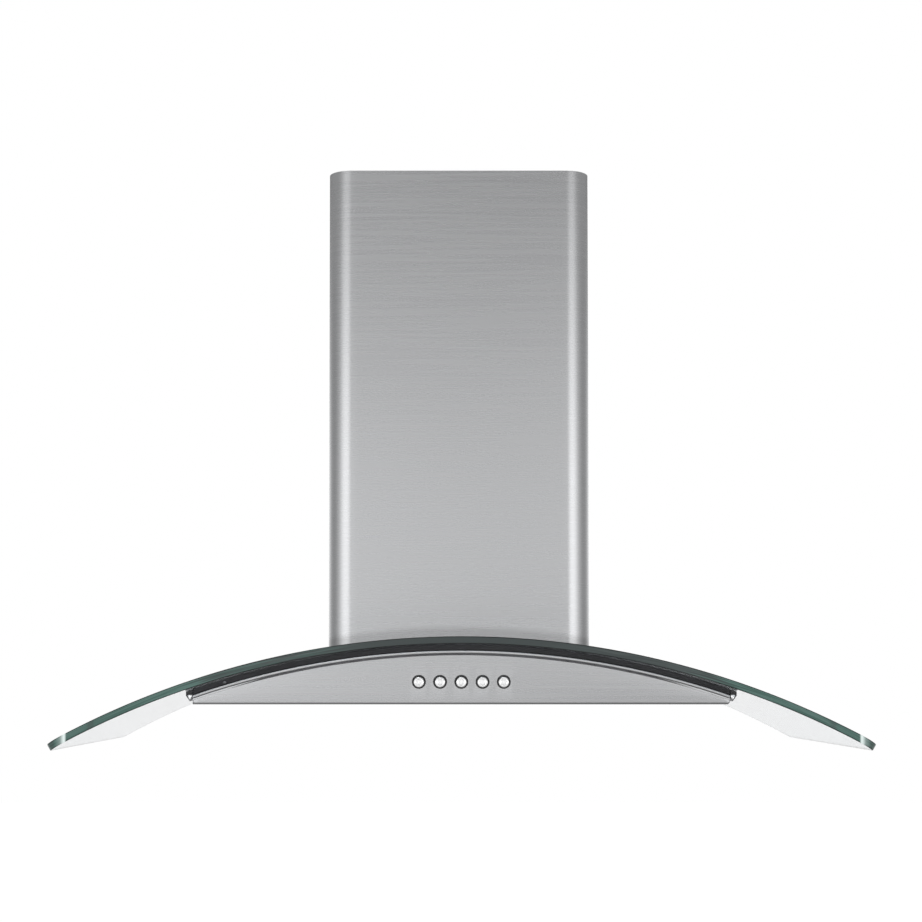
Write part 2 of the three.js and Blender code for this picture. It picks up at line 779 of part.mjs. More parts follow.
const hangerScrewX = hangerHalf * 0.7;
const hangerScrewZ = hangZ - hangerScrewDrop;
function wallHanger() {
  const lipY = boxRearY - hangerShelf + hangerThickness;
  const outline = outlineOf([
    [0, hangZ - hangerBelow],
    [0, hangZ + hangerAbove],
    [-hangerThickness, hangZ + hangerAbove],
    [-hangerThickness, hangZ + hangerThickness],
    [lipY, hangZ + hangerThickness],
    [lipY, hangZ + hangerThickness + hangerLip],
    [lipY - hangerThickness, hangZ + hangerThickness + hangerLip],
    [lipY - hangerThickness, hangZ],
    [-hangerThickness, hangZ],
    [-hangerThickness, hangZ - hangerBelow],
  ]);
  const plate = drawnAlongX(outline, [-hangerHalf, hangerHalf]);
  const holeRadius = hangerScrewShank + running;
  const holes = [-1, 1].map((side) =>
    rod(holeRadius, [-hangerThickness - 1, 1], 'y', [side * hangerScrewX, 0, hangerScrewZ], 16));
  return cut(plate, ...holes);
}
add('wall_hanger', wallHanger(), plainSteel);
for (const [name, side] of sides) {
  const headBack = -hangerThickness - touch;
  const profile = [
    [0, headBack - hangerScrewHead],
    [hangerScrewRadius / 1.5, headBack - hangerScrewHead],
    [hangerScrewRadius, headBack - hangerScrewHead / 2],
    [hangerScrewRadius, headBack],
    [hangerScrewShank, headBack],
    [hangerScrewShank, -touch],
    [0, -touch],
  ];
  add(`hanger_screw_${name}`, turned(profile, 'y', [side * hangerScrewX, 0, hangerScrewZ], 16), chrome);
}

// ---------------------------------------------------------------- blower

const shaftY = boxMidY;
const shaftZ = archTopZ + shaftHeight;
const scrollMax = (boxRearY - boxFrontY) / 2 - sheet - scrollMargin;
const scrollMin = scrollMax * scrollTongueRatio;
const scrollTopZ = boxTopZ - sheet - touch;
const impellerRadius = scrollMin - impellerClearance;
const impellerCore = impellerRadius - bladeDepth;
const inletRadius = impellerCore + 2;
const scrollHalf = scrollWidth / 2;
const impellerHalf = impellerWidth / 2;

// Side view of the scroll: a spiral round the shaft that opens into a neck under the duct.
function scrollOutline(inset, neckTopZ) {
  const steps = 20;
  const tongueAngle = (scrollTongueDegrees * Math.PI) / 180;
  const sweep = tongueAngle + Math.PI;
  const spiral = Array.from({ length: steps + 1 }, (_, i) => {
    const part = i / steps;
    const radius = scrollMin + (scrollMax - scrollMin) * part - inset;
    const angle = tongueAngle - sweep * part;
    return [shaftY + radius * Math.cos(angle), shaftZ + radius * Math.sin(angle)];
  });
  const neckHalf = ductRadius - scrollNeckInset - inset;
  return outlineOf([
    ...spiral,
    [shaftY - scrollMax + inset, shaftZ + scrollMin / 2],
    [shaftY - neckHalf, neckTopZ],
    [shaftY + neckHalf, neckTopZ],
  ]);
}
function blowerScroll() {
  const outer = drawnAlongX(scrollOutline(0, scrollTopZ), [-scrollHalf, scrollHalf]);
  const hollow = drawnAlongX(
    scrollOutline(scrollSheet, scrollTopZ + 1),
    [-scrollHalf + scrollSheet, scrollHalf - scrollSheet],
  );
  const inlets = rod(inletRadius, [-scrollHalf - 1, scrollHalf + 1], 'x', [0, shaftY, shaftZ], 28);
  return cut(outer, hollow, inlets);
}
add('blower_scroll', blowerScroll(), plainSteel);

// Bell-mouthed ring on each inlet.
for (const [name, side] of sides) {
  const face = side * (scrollHalf + touch);
  const profile = [
    [inletRadius, face],
    [inletRadius + inletFlange, face],
    [inletRadius + inletFlange, face + side * inletSheet],
    [inletRadius + inletBell, face + side * inletSheet],
    [inletRadius + inletBell / 2, face + side * inletBell],
    [inletRadius, face + side * inletBell * 0.75],
    [inletRadius, face],
  ];
  add(`inlet_ring_${name}`, turned(profile, 'x', [0, shaftY, shaftZ], 28), blackPlastic);
}

// The disc that joins the impeller to its boss stands a little right of the middle.
const discX = impellerHalf / 5;

// Squirrel-cage impeller: hub disc, boss, two end rings and slanted blades.
function impeller() {
  const centre = [0, shaftY, shaftZ];
  const bore = shaftRadius + shaftFit;
  const disc = ring(bore, impellerRadius - 1, [discX, discX + impellerDisc], 'x', centre, 28);
  const boss = ring(bore, shaftRadius + bossWall, [discX, discX + bossLength], 'x', centre, 16);
  const endRings = [-1, 1].map((side) => {
    const [from, to] = span(side, impellerHalf - impellerEndRing, impellerHalf);
    return ring(impellerCore, impellerRadius, [from, to], 'x', centre, 28);
  });
  const bladeLength = impellerWidth - impellerEndRing;
  const blades = Array.from({ length: bladeCount }, (_, i) => {
    const blade = new THREE.BoxGeometry(bladeLength, bladeDepth - 2 * bladeInset, bladeThickness);
    blade.rotateX((bladeDegrees * Math.PI) / 180);
    blade.translate(0, (impellerCore + impellerRadius) / 2, 0);
    blade.rotateX((i * 2 * Math.PI) / bladeCount);
    blade.translate(...centre);
    return solid(blade);
  });
  return join(disc, boss, ...endRings, ...blades);
}
add('impeller', impeller(), blackPlastic);

const motorRadius = impellerCore * motorRatio;
const motorFront = discX - motorGap;
const motorRear = -scrollHalf - motorGap;
const shaftRearX = motorFront - shaftGrip;
const shaftFrontX = discX + bossLength + shaftEnd;
add('motor_shaft', rod(shaftRadius, [shaftRearX, shaftFrontX], 'x', [0, shaftY, shaftZ], 20), chrome);
function motorCan() {
  const centre = [0, shaftY, shaftZ];
  const profile = [
    [0, motorRear],
    [motorRadius - motorEdge, motorRear],
    [motorRadius, motorRear + motorEdge],
    [motorRadius, motorFront - motorEdge],
    [motorRadius - motorEdge, motorFront],
    [0, motorFront],
  ];
  const shaftHole = rod(shaftRadius + running, [shaftRearX - touch, motorFront + 1], 'x', centre, 20);
  return cut(turned(profile, 'x', centre, 28), shaftHole);
}
add('motor_can', motorCan(), plainSteel);

// Three-armed plate that carries the motor in the left inlet.
function motorSpider() {
  const centre = [0, shaftY, shaftZ];
  const rear = motorRear - touch - spiderSheet;
  const footEnd = -scrollHalf - touch;
  const reach = inletRadius + spiderReach;
  const armStart = motorRadius - spiderFoot;
  const hub = ring(motorRadius / 2, motorRadius, [rear, rear + spiderSheet], 'x', centre, 28);
  const arms = [0, 1, 2].map((i) => {
    const arm = new THREE.BoxGeometry(spiderSheet, reach - armStart, spiderArm);
    arm.translate(rear + spiderSheet / 2, (reach + armStart) / 2, 0);
    const foot = new THREE.BoxGeometry(footEnd - rear, spiderFoot, spiderArm);
    foot.translate((rear + footEnd) / 2, reach - 1, 0);
    for (const piece of [arm, foot]) {
      piece.rotateX(Math.PI / 2 + (i * 2 * Math.PI) / 3);
      piece.translate(...centre);
    }
    return solid(arm).add(solid(foot));
  });
  return join(hub, ...arms);
}
add('motor_spider', motorSpider(), plainSteel);

// ---------------------------------------------------------------- duct collar

const collarLow = boxTopZ + touch;
const collarTop = collarLow + ductHeight;
const flapZ = collarLow + flapHeight;
const ductBore = ductRadius - ductSheet;
const seatTop = flapZ - flapSheet / 2 - touch;

function ductCollar() {
  const profile = [
    [ductBore, collarLow],
    [ductRadius + ductFlange, collarLow],
    [ductRadius + ductFlange, collarLow + ductSheet],
    [ductRadius, collarLow + ductSheet],
    [ductRadius, collarTop],
    [ductBore, collarTop],
    [ductBore, seatTop],
    [ductBore - seatWidth, seatTop],
    [ductBore - seatWidth, seatTop - seatHeight],
    [ductBore, seatTop - 2 * seatHeight],
    [ductBore, collarLow],
  ];
  const collar = turned(profile, 'z', [0, boxMidY, 0], 32);
  const across = [-ductRadius - 1, ductRadius + 1];
  const rodHole = rod(flapRodRadius + running, across, 'x', [0, boxMidY, flapZ], 16);
  return cut(collar, rodHole);
}
add('duct_collar', ductCollar(), plainSteel);
add('flap_rod', rod(flapRodRadius, [-ductRadius, ductRadius], 'x', [0, boxMidY, flapZ], 16), chrome);

// Half-round flap, with two knuckles that turn on the rod.
const knuckleBore = flapRodRadius + running;
const knuckleRadius = flapRodRadius + knuckleWall;
function damperFlap(side, knuckles) {
  const radius = ductBore - flapClearance;
  const start = knuckleRadius + flapClearance;
  const startAngle = Math.asin(start / radius);
  const shape = new THREE.Shape();
  shape.moveTo(radius * Math.cos(startAngle), start);
  shape.absarc(0, 0, radius, startAngle, Math.PI - startAngle, false);
  shape.closePath();
  const settings = { depth: flapSheet, bevelEnabled: false, curveSegments: 14 };
  const plate = new THREE.ExtrudeGeometry(shape, settings);
  plate.translate(0, 0, -flapSheet / 2);
  if (side < 0) plate.rotateZ(Math.PI);
  plate.translate(0, boxMidY, flapZ);
  const parts = knuckles.flatMap((x) => {
    const [y0, y1] = span(side, knuckleBore + running, start + 1);
    const along = [x, x + knuckleLength];
    const leafZ = [flapZ - flapSheet / 2, flapZ + flapSheet / 2];
    return [
      ring(knuckleBore, knuckleRadius, along, 'x', [0, boxMidY, flapZ], 16),
      block(along, [boxMidY + y0, boxMidY + y1], leafZ),
    ];
  });
  return join(solid(plate), ...parts);
}
const knuckleStep = knuckleLength + knuckleGap;
const knuckleStarts = [-2, -1, 0, 1].map((i) => i * knuckleStep + knuckleGap / 2);
add('damper_flap_front', damperFlap(-1, [knuckleStarts[0], knuckleStarts[2]]), aluminium);
add('damper_flap_rear', damperFlap(1, [knuckleStarts[1], knuckleStarts[3]]), aluminium);

// ---------------------------------------------------------------- electrics on the motor box

const mainsTop = boxTopZ - mainsDrop;
const mainsX = [-boxHalf - touch - mainsDepth, -boxHalf - touch];
const mainsY = [boxMidY - mainsLength / 2, boxMidY + mainsLength / 2];
add('mains_box', block(mainsX, mainsY, [mainsTop - mainsHeight, mainsTop]), blackPlastic);

// Gland on top of the mains box: a nut with a tapered neck, closed at the bottom of its bore.
function cableGland() {
  const x = (mainsX[0] + mainsX[1]) / 2;
  const low = mainsTop + touch;
  const neckRadius = glandRadius - glandFloor / 2;
  const profile = [
    [0, low],
    [glandRadius, low],
    [glandRadius, low + glandNut],
    [neckRadius, low + glandNut + 1],
    [neckRadius, low + glandNeck],
    [glandBore + 0.5, low + glandNeck + 2],
    [glandBore, low + glandNeck + 2],
    [glandBore, low + glandFloor],
    [0, low + glandFloor],
  ];
  return turned(profile, 'z', [x, boxMidY, 0], 12);
}
add('cable_gland', cableGland(), blackPlastic);

const capacitorX = boxHalf + touch + capacitorRadius;
const capacitorZ = [mainsTop - capacitorLength, mainsTop];
add('run_capacitor', rod(capacitorRadius, capacitorZ, 'z', [capacitorX, boxMidY, 0], 20), whitePlastic);

export default hood;
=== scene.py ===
import math

import bmesh
import bpy
from mathutils import Matrix, Vector


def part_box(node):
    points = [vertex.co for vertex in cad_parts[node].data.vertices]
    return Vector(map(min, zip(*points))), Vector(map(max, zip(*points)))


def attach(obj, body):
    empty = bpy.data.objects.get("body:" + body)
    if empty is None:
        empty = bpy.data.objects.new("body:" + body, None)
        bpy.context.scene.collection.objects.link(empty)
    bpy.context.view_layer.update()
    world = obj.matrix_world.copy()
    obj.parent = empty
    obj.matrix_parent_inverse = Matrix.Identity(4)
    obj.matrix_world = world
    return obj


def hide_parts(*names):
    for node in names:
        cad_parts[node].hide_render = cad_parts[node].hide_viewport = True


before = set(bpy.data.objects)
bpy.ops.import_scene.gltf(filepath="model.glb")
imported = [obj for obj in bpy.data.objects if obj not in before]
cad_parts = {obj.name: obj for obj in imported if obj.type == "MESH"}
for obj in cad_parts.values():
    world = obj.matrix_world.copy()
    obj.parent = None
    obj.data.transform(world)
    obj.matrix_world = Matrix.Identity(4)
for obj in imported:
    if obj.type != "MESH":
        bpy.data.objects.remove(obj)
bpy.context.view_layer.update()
scene = bpy.context.scene
scene.view_settings.view_transform = "Standard"


# Camera: a long lens a little below the glass, tilted up, with the picture's middle shifted
# so that the upright edges of the chimney stay parallel.
camera_data = bpy.data.cameras.new("camera")
camera_data.sensor_width = 36
camera_data.lens = 73.551
camera_data.shift_x = 0.0265
camera_data.shift_y = 0.143
camera = bpy.data.objects.new("camera", camera_data)
camera.location = (-0.02716, -2.52962, -0.01138)
camera.rotation_euler = (math.radians(92.6), 0, 0)
scene.collection.objects.link(camera)
scene.camera = camera


# Studio: a white surround that lights the hood evenly, with one large soft light above it on
# the left. Metal mirrors a room that is greyer towards the ceiling and the floor, and bright
# to both sides of the camera.
class Wire:
    """A shader socket that can stand in a sum."""

    def __init__(self, nodes, socket):
        self.nodes = nodes
        self.socket = socket

    def step(self, operation, *values):
        return self.nodes.node("ShaderNodeMath", {"operation": operation}, values)

    def __add__(self, other):
        return self.step("ADD", self, other)

    def __sub__(self, other):
        return self.step("SUBTRACT", self, other)

    def __rsub__(self, other):
        return self.step("SUBTRACT", other, self)

    def __mul__(self, other):
        return self.step("MULTIPLY", self, other)

    def __truediv__(self, other):
        return self.step("DIVIDE", self, other)

    def __gt__(self, other):
        return self.step("GREATER_THAN", self, other)

    def __lt__(self, other):
        return self.step("LESS_THAN", self, other)

    __radd__ = __add__
    __rmul__ = __mul__


class Nodes:
    """The node tree of a finish, or of the surround."""

    def __init__(self, tree):
        self.tree = tree

    def node(self, kind, settings, inputs=(), output=0):
        made = self.tree.nodes.new(kind)
        for name, value in settings.items():
            setattr(made, name, value)
        pairs = inputs.items() if isinstance(inputs, dict) else enumerate(inputs)
        for place, value in pairs:
            self.feed(made.inputs[place], value)
        return Wire(self, made.outputs[output])

    def feed(self, socket, value):
        if isinstance(value, Wire):
            self.tree.links.new(value.socket, socket)
        elif socket.type == "RGBA" and len(value) == 3:
            socket.default_value = (*value, 1)
        else:
            socket.default_value = value

    def between(self, value, low, high, at_low=0.0, at_high=1.0):
        """Goes smoothly from one number to another while a value passes between two limits."""
        settings = {"interpolation_type": "SMOOTHSTEP"}
        return self.node("ShaderNodeMapRange", settings, [value, low, high, at_low, at_high])

    def band(self, value, start, full, fading, end):
        """Is 1 while a value lies inside a band, and fades softly to 0 on both sides."""
        return self.between(value, start, full) * self.between(value, fading, end, 1.0, 0.0)

    def mixed(self, share, first, second):
        """Goes from the first colour to the second as the share goes from 0 to 1."""
        settings = {"data_type": "RGBA"}
        return self.node("ShaderNodeMix", settings, {0: share, 6: first, 7: second}, 2)


white = (1, 1, 1)
surround = bpy.data.worlds.new("surround")
surround.use_nodes = True
scene.world = surround
air = Nodes(surround.node_tree)
direction = air.node("ShaderNodeTexCoord", {}, output="Generated")
height = air.node("ShaderNodeSeparateXYZ", {}, [direction], "Z")
sideways = air.node("ShaderNodeSeparateXYZ", {}, [direction], "X")
frontways = 0 - air.node("ShaderNodeSeparateXYZ", {}, [direction], "Y")
turn = air.node("ShaderNodeMath", {"operation": "ARCTAN2"}, [sideways, frontways])
turn = turn * (180 / math.pi)
away = air.node("ShaderNodeMath", {"operation": "ABSOLUTE"}, [turn])
ray = {
    name: air.node("ShaderNodeLightPath", {}, output=name)
    for name in ("Is Camera Ray", "Is Glossy Ray", "Is Transmission Ray")
}

# What metal mirrors. Heights run from -1, straight down, to 1, and angles are in degrees from
# straight ahead. It is brightest just above the level of the eye.
upwards = air.between(height, 0.07, 0.26, 1.34, 0.24)
downwards = air.between(height, -0.55, -0.15, 0.29, 0.69)
downwards = downwards + air.between(height, -0.03, 0.05, 0.0, 0.235)

# The room glows to both sides, and more so low down, which the chimney's corners catch.
glow_left = air.between(0 - turn, 0, 20)
glow_right = air.between(turn, 1, 24)
glow = (glow_left + 1.05 * glow_right) * air.between(away, 33, 68, 1.0, 0.0)
glow = glow * air.between(height, -0.05, 0.05)
glow_strength = 0.68 + 0.98 * air.between(height, 0.05, 0.27, 1.0, -0.35)

# Farther round it is dusky low down and bright above, and there is a faint dark strip a
# little to the right of the middle.
dusk = air.band(away, 52, 92, 104, 160)
dusk_strength = air.between(height, 0.17, 0.27, -0.58, 1.1)
dip = air.band(turn, 3, 6, 9, 13) * air.between(height, 0.0, 0.05, 1.0, 0.0)
around = 1 + glow_strength * glow + dusk_strength * dusk - 0.6 * dip

level = upwards * downwards * around
mirrored = air.node("ShaderNodeCombineColor", {}, [level, level, level])
even = (0.85, 0.85, 0.85)
seen = air.mixed(ray["Is Glossy Ray"], even, mirrored)
seen = air.mixed(ray["Is Camera Ray"] + ray["Is Transmission Ray"], seen, white)
backdrop = surround.node_tree.nodes["Background"]
air.feed(backdrop.inputs["Color"], seen)

light_place = Vector((-0.7, -1.7, 2.4))
light_aim = Vector((0, -0.2, 0.2))
light_width = 1.6
light_depth = 1.2
radiance = 2.4
light_data = bpy.data.lights.new("soft_light", "AREA")
light_data.shape = "RECTANGLE"
light_data.size = light_width
light_data.size_y = light_depth
light_data.energy = radiance * math.pi * light_width * light_depth
light = bpy.data.objects.new("soft_light", light_data)
light.location = light_place
light.rotation_euler = (light_aim - light_place).to_track_quat("-Z", "Y").to_euler()
scene.collection.objects.link(light)


# Floor: a pale matt floor far below the hood. It shows plain white with the hood's soft
# shadow, and isn't there for a camera below it or in what metal mirrors.
floor_height = -1.5
floor_side = 40
floor_glow = 1.22
floor_share = 0.35


class Finish(Nodes):
    """A finish: one material with its shader, plain values on the shader's own sockets."""

    def __init__(self, name, plain):
        self.material = bpy.data.materials.new(name)
        self.material.use_nodes = True
        super().__init__(self.material.node_tree)
        self.shader = self.tree.nodes["Principled BSDF"]
        for socket, value in plain.items():
            self.feed(self.shader.inputs[socket], value)

    def place(self):
        """The point of the surface, in metres, in the hood's own frame."""
        return self.node("ShaderNodeTexCoord", {}, output="Object")

    def stretched(self, scale):
        """The point of the surface, scaled by a number for each axis."""
        return self.node("ShaderNodeMapping", {}, {"Vector": self.place(), "Scale": scale})

    def noise(self, scale, detail=2.0):
        """Cloudy noise from 0 to 1, so many cells a metre along each axis."""
        return self.cloudy(self.stretched(scale), detail)

    def cloudy(self, point, detail):
        """Cloudy noise from 0 to 1 at a point, with one cell to each unit."""
        inputs = {"Vector": point, "Scale": 1.0, "Detail": detail}
        return self.node("ShaderNodeTexNoise", {}, inputs)

    def axis(self, letter):
        return self.node("ShaderNodeSeparateXYZ", {}, [self.place()], letter)

    def colour(self, value):
        self.feed(self.shader.inputs["Base Color"], value)

    def rough(self, value):
        self.feed(self.shader.inputs["Roughness"], value)

    def bump(self, height, depth):
        """Relief of a depth in metres, for a height from 0 to 1."""
        relief = self.node("ShaderNodeBump", {}, {"Distance": depth, "Height": height})
        self.feed(self.shader.inputs["Normal"], relief)


floor_finish = Finish("pale_floor", {"Base Color": (0.8, 0.8, 0.8), "Roughness": 0.9})
lit = floor_finish.node("ShaderNodeEmission", {}, {"Color": white, "Strength": floor_glow})
matt = Wire(floor_finish, floor_finish.shader.outputs[0])
plain_part = floor_finish.node("ShaderNodeMixShader", {}, [1 - floor_share, matt, lit])
clear = floor_finish.node("ShaderNodeBsdfTransparent", {})
below = floor_finish.node("ShaderNodeNewGeometry", {}, output="Backfacing")
mirror_ray = floor_finish.node("ShaderNodeLightPath", {}, output="Is Glossy Ray")
unseen = floor_finish.node("ShaderNodeMath", {"operation": "MAXIMUM"}, [below, mirror_ray])
floor_look = floor_finish.node("ShaderNodeMixShader", {}, [unseen, plain_part, clear])
floor_out = floor_finish.tree.nodes["Material Output"]
floor_finish.tree.links.new(floor_look.socket, floor_out.inputs["Surface"])
floor_form = bmesh.new()
bmesh.ops.create_grid(floor_form, x_segments=1, y_segments=1, size=floor_side / 2)
bmesh.ops.translate(floor_form, verts=floor_form.verts[:], vec=(0, 0, floor_height))
floor_mesh = bpy.data.meshes.new("floor")
floor_form.to_mesh(floor_mesh)
floor_form.free()
floor_mesh.materials.append(floor_finish.material)
floor = bpy.data.objects.new("floor", floor_mesh)
scene.collection.objects.link(floor)


# Body: folded from stainless sheet, open underneath, with an arched deck on top that carries
# the glass. Its front is a second sheet, spot welded in, and its outside is brushed from
# side to side.
steel_grey = 0.535
steel_tint = (0, 0.005, 0.015)
# The grey that painted shade mixes into brushed steel.
painted_shade_grey = (0.32, 0.322, 0.326)


def brushed_steel(name, grain, spread=0.0, contrast=1.0, shade=None):
    """Stainless sheet with fine straight brush lines, so dense along each axis. Where the
    shade function gives more than nothing, painted shade darkens the sheet's colour."""
    finish = Finish(name, {
        "Metallic": 1.0,
        "Anisotropic": spread,
        "Anisotropic Rotation": 0.25,
    })
    lines = finish.noise(grain, 3.0)
    broad = finish.noise([size / 3 for size in grain])
    streaks = finish.between(lines * 0.2 + broad * 0.8, 0.34, 0.66)
    cloud = finish.noise((3, 3, 3))
    line_depth = 0.03 * contrast
    dark = [steel_grey - line_depth + tint for tint in steel_tint]
    light = [steel_grey + line_depth + tint for tint in steel_tint]
    brushed = finish.mixed(streaks * 0.75 + cloud * 0.25, dark, light)
    if shade:
        # Painted shade, wherever the shade function asks for it.
        brushed = finish.mixed(shade(finish), brushed, painted_shade_grey)
    finish.colour(brushed)
    finish.rough(0.265 + 0.05 * contrast * (streaks - 0.5) + 0.02 * cloud)
    finish.bump(streaks, 0.000004 * contrast)
    return finish.material


def dress(names, material, edge=0.0004):
    """Gives CAD nodes their finish, and takes the sharpness off their edges."""
    for name in names:
        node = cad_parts[name]
        node.data.materials.clear()
        node.data.materials.append(material)
        weld = node.modifiers.new("weld", "WELD")
        weld.merge_threshold = 0.000005
        if edge:
            bevel = node.modifiers.new("edges", "BEVEL")
            bevel.width = edge
            bevel.segments = 2
            bevel.limit_method = "ANGLE"
            bevel.angle_limit = math.radians(40)
            bevel.use_clamp_overlap = True


fold_steel = brushed_steel("body_steel", (9, 1100, 60))
dress(["body_shell", "body_front"], fold_steel, 0.0)


# Glass seal: a soft black rubber strip that lies along the arched deck. The pane rests on
# it and touches no metal.
def soft_rubber(name, dark, pale):
    finish = Finish(name, {"Specular IOR Level": 0.1})
    grain = finish.noise((900, 900, 900), 3.0)
    bloom = finish.noise((25, 25, 25), 2.0)
    finish.colour(finish.mixed(bloom, dark, pale))
    finish.rough(0.55 + 0.2 * grain)
    finish.bump(grain, 0.00003)
    return finish.material


rubber = soft_rubber("seal_rubber", (0.034, 0.034, 0.036), (0.048, 0.048, 0.051))
dress(["glass_seal"], rubber, 0.0)


# Glass canopy: one pane of 8 mm toughened glass, cut with round front corners and a notch for
# the motor box, its edges ground smooth and the whole bent to a shallow arc.
arc_radius = 0.923
glass_top = 0.034
arc_centre_z = glass_top - arc_radius
glass_thickness = 0.008
glass_low, glass_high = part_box("glass_canopy")
glass_half = glass_high.x
glass_front = glass_low.y
glass_rear = glass_high.y
glass_corner = 0.022
glass_arris = 0.0009
glass_slices = 120
notch_gap = 0.003
motor_low, motor_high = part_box("motor_box")
notch_half = motor_high.x + notch_gap
notch_front = motor_low.y - notch_gap


def arch_z(radius, x):
    """Height of the canopy's arc at a radius, so far from the middle."""
    return arc_centre_z + math.sqrt(radius * radius - x * x)


def slice_across(form, start, end, count):
    """Cuts a form into upright slices, so that it can be bent."""
    for i in range(1, count):
        x = start + (end - start) * i / count
        everything = form.verts[:] + form.edges[:] + form.faces[:]
        bmesh.ops.bisect_plane(
            form, geom=everything, dist=1e-6, plane_co=(x, 0, 0), plane_no=(1, 0, 0)
        )


def bend_to_arc(form, radius):
    """Bends a flat form round the canopy's axis. Its top, z = 0, lands on the radius."""
    for vert in form.verts:
        angle = math.asin(vert.co.x / radius)
        reach = radius + vert.co.z
        vert.co.x = reach * math.sin(angle)
        vert.co.z = arc_centre_z + reach * math.cos(angle)


def sharp_edges(form, degrees):
    """Edges whose two faces meet at more than an angle."""
    limit = math.radians(degrees)
    return [e for e in form.edges if len(e.link_faces) == 2 and e.calc_face_angle() > limit]


def round_edges(form, edges, width, segments=2):
    bmesh.ops.bevel(
        form, geom=edges, offset=width, offset_type="OFFSET", segments=segments,
        profile=0.5, affect="EDGES", clamp_overlap=True, material=-1,
    )


def round_corners(form, verts, radius, segments):
    bmesh.ops.bevel(
        form, geom=verts, offset=radius, offset_type="OFFSET", segments=segments,
        profile=0.5, affect="VERTICES", clamp_overlap=True, material=-1,
    )


def shift_new(form, swept, shift):
    """Moves the points that an extrusion has made."""
    verts = [v for v in swept["geom"] if isinstance(v, bmesh.types.BMVert)]
    bmesh.ops.translate(form, verts=verts, vec=shift)


def drawn_out(form, shift):
    """Extrudes all the faces of a form by a shift, and closes it."""
    shift_new(form, bmesh.ops.extrude_face_region(form, geom=form.faces[:]), shift)
    bmesh.ops.recalc_face_normals(form, faces=form.faces[:])


def make_piece(name, form, finishes, body, nodes=(), smooth=32):
    """Turns a form into a piece of the hood that rides on a body."""
    mesh = bpy.data.meshes.new(name)
    form.to_mesh(mesh)
    form.free()
    for finish in finishes:
        mesh.materials.append(finish)
    mesh.shade_smooth()
    mesh.set_sharp_from_angle(angle=math.radians(smooth))
    piece = bpy.data.objects.new(name, mesh)
    scene.collection.objects.link(piece)
    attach(piece, body)
    if nodes:
        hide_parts(*nodes)


def clear_glass():
    """Clear glass with a faint cool cast, seen through its two faces."""
    finish = Finish("clear_glass", {
        "Base Color": (0.79, 0.825, 0.855),
        "Transmission Weight": 1.0,
        "IOR": 1.5,
        "Roughness": 0.0,
    })
    return finish.material


def arc_reach(finish):
    """Distance of the surface from the axis that the canopy is bent round."""
    x = finish.axis("X")
    rise = finish.axis("Z") - arc_centre_z
    return finish.node("ShaderNodeMath", {"operation": "SQRT"}, [x * x + rise * rise])


def arc_noise(finish, along, through, detail, slice_at):
    """Cloudy noise drawn out along the arc, so many cells a radian and through the pane."""
    x = finish.axis("X")
    rise = finish.axis("Z") - arc_centre_z
    angle = finish.node("ShaderNodeMath", {"operation": "ARCTAN2"}, [x, rise])
    depth = (arc_radius - arc_reach(finish)) / glass_thickness
    place = [angle * along, depth * through, slice_at]
    return finish.cloudy(finish.node("ShaderNodeCombineXYZ", {}, place), detail)


# Stretches of the cut edge, as distances from the middle: the ends of the painted shade over
# the body, the start of the threads, a painted dark reflection, the dark tips and the painted
# highlight where the corners turn.
body_ends_left = (0.265, 0.31)
body_ends_right = (0.25, 0.305)
threads_start = (0.11, 0.17)
dark_reflection_span = (0.394, 0.398, 0.401, 0.405)
tip_start = (0.4375, 0.4415)
glint_start = (0.4262, 0.4288)
glint_end = (0.4288, 0.434)
glint_tail = (0.4295, 0.441)
glint_colour = (0.78, 0.88, 0.86)


def cut_edge_glass(name, deep, pale, dark, grey):
    """The ground edge, which looks deep into the pane: green over the wings, with faint lines
    along the arc. Painted shade makes it nearly black where the body stands under it and dark
    at the tips, a painted reflection darkens a patch near each end, and a painted highlight
    makes it pale where the corners start to turn."""
    finish = Finish(name, {"Specular IOR Level": 0.2})
    x = finish.axis("X")
    away = finish.node("ShaderNodeMath", {"operation": "ABSOLUTE"}, [x])
    lines = arc_noise(finish, 13, 4.2, 3.0, 0.0)
    streaks = finish.between(lines, 0.41, 0.59)
    threads = finish.between(arc_noise(finish, 17, 5.0, 2.0, 4.0), 0.42, 0.56)
    threads = threads * finish.between(away, *threads_start)
    ragged = away + 0.16 * (lines - 0.5)
    # Painted shade where the body stands under the edge.
    dark_left = finish.between(ragged, *body_ends_left, 1.0, 0.0) * (x < 0)
    dark_right = finish.between(ragged, *body_ends_right, 1.0, 0.0) * (x > 0)
    painted_body_shade = dark_left * (1 - 0.5 * threads) + dark_right
    # A painted dark reflection near each end, and painted shade at the tips.
    smear_and_painted_reflection = finish.band(away, *dark_reflection_span)
    tip = finish.between(away, *tip_start)
    green = finish.mixed(streaks, deep, pale)
    shaded = finish.mixed(streaks * finish.between(away, 0.06, 0.2), dark, grey)
    body = finish.mixed(painted_body_shade + 0.5 * smear_and_painted_reflection + 0.6 * tip, green, shaded)
    # A painted highlight where the corners start to turn.
    outwards = finish.node("ShaderNodeMath", {"operation": "ABSOLUTE"}, [x - 0.0012])
    glint = finish.between(outwards, *glint_end, 0.7, 0.0)
    glint = glint + finish.between(outwards, *glint_tail, 0.3, 0.0)
    glint = glint * finish.between(outwards, *glint_start)
    finish.colour(finish.mixed(glint, body, glint_colour))
    finish.rough(0.16 + 0.1 * streaks)
    return finish.material


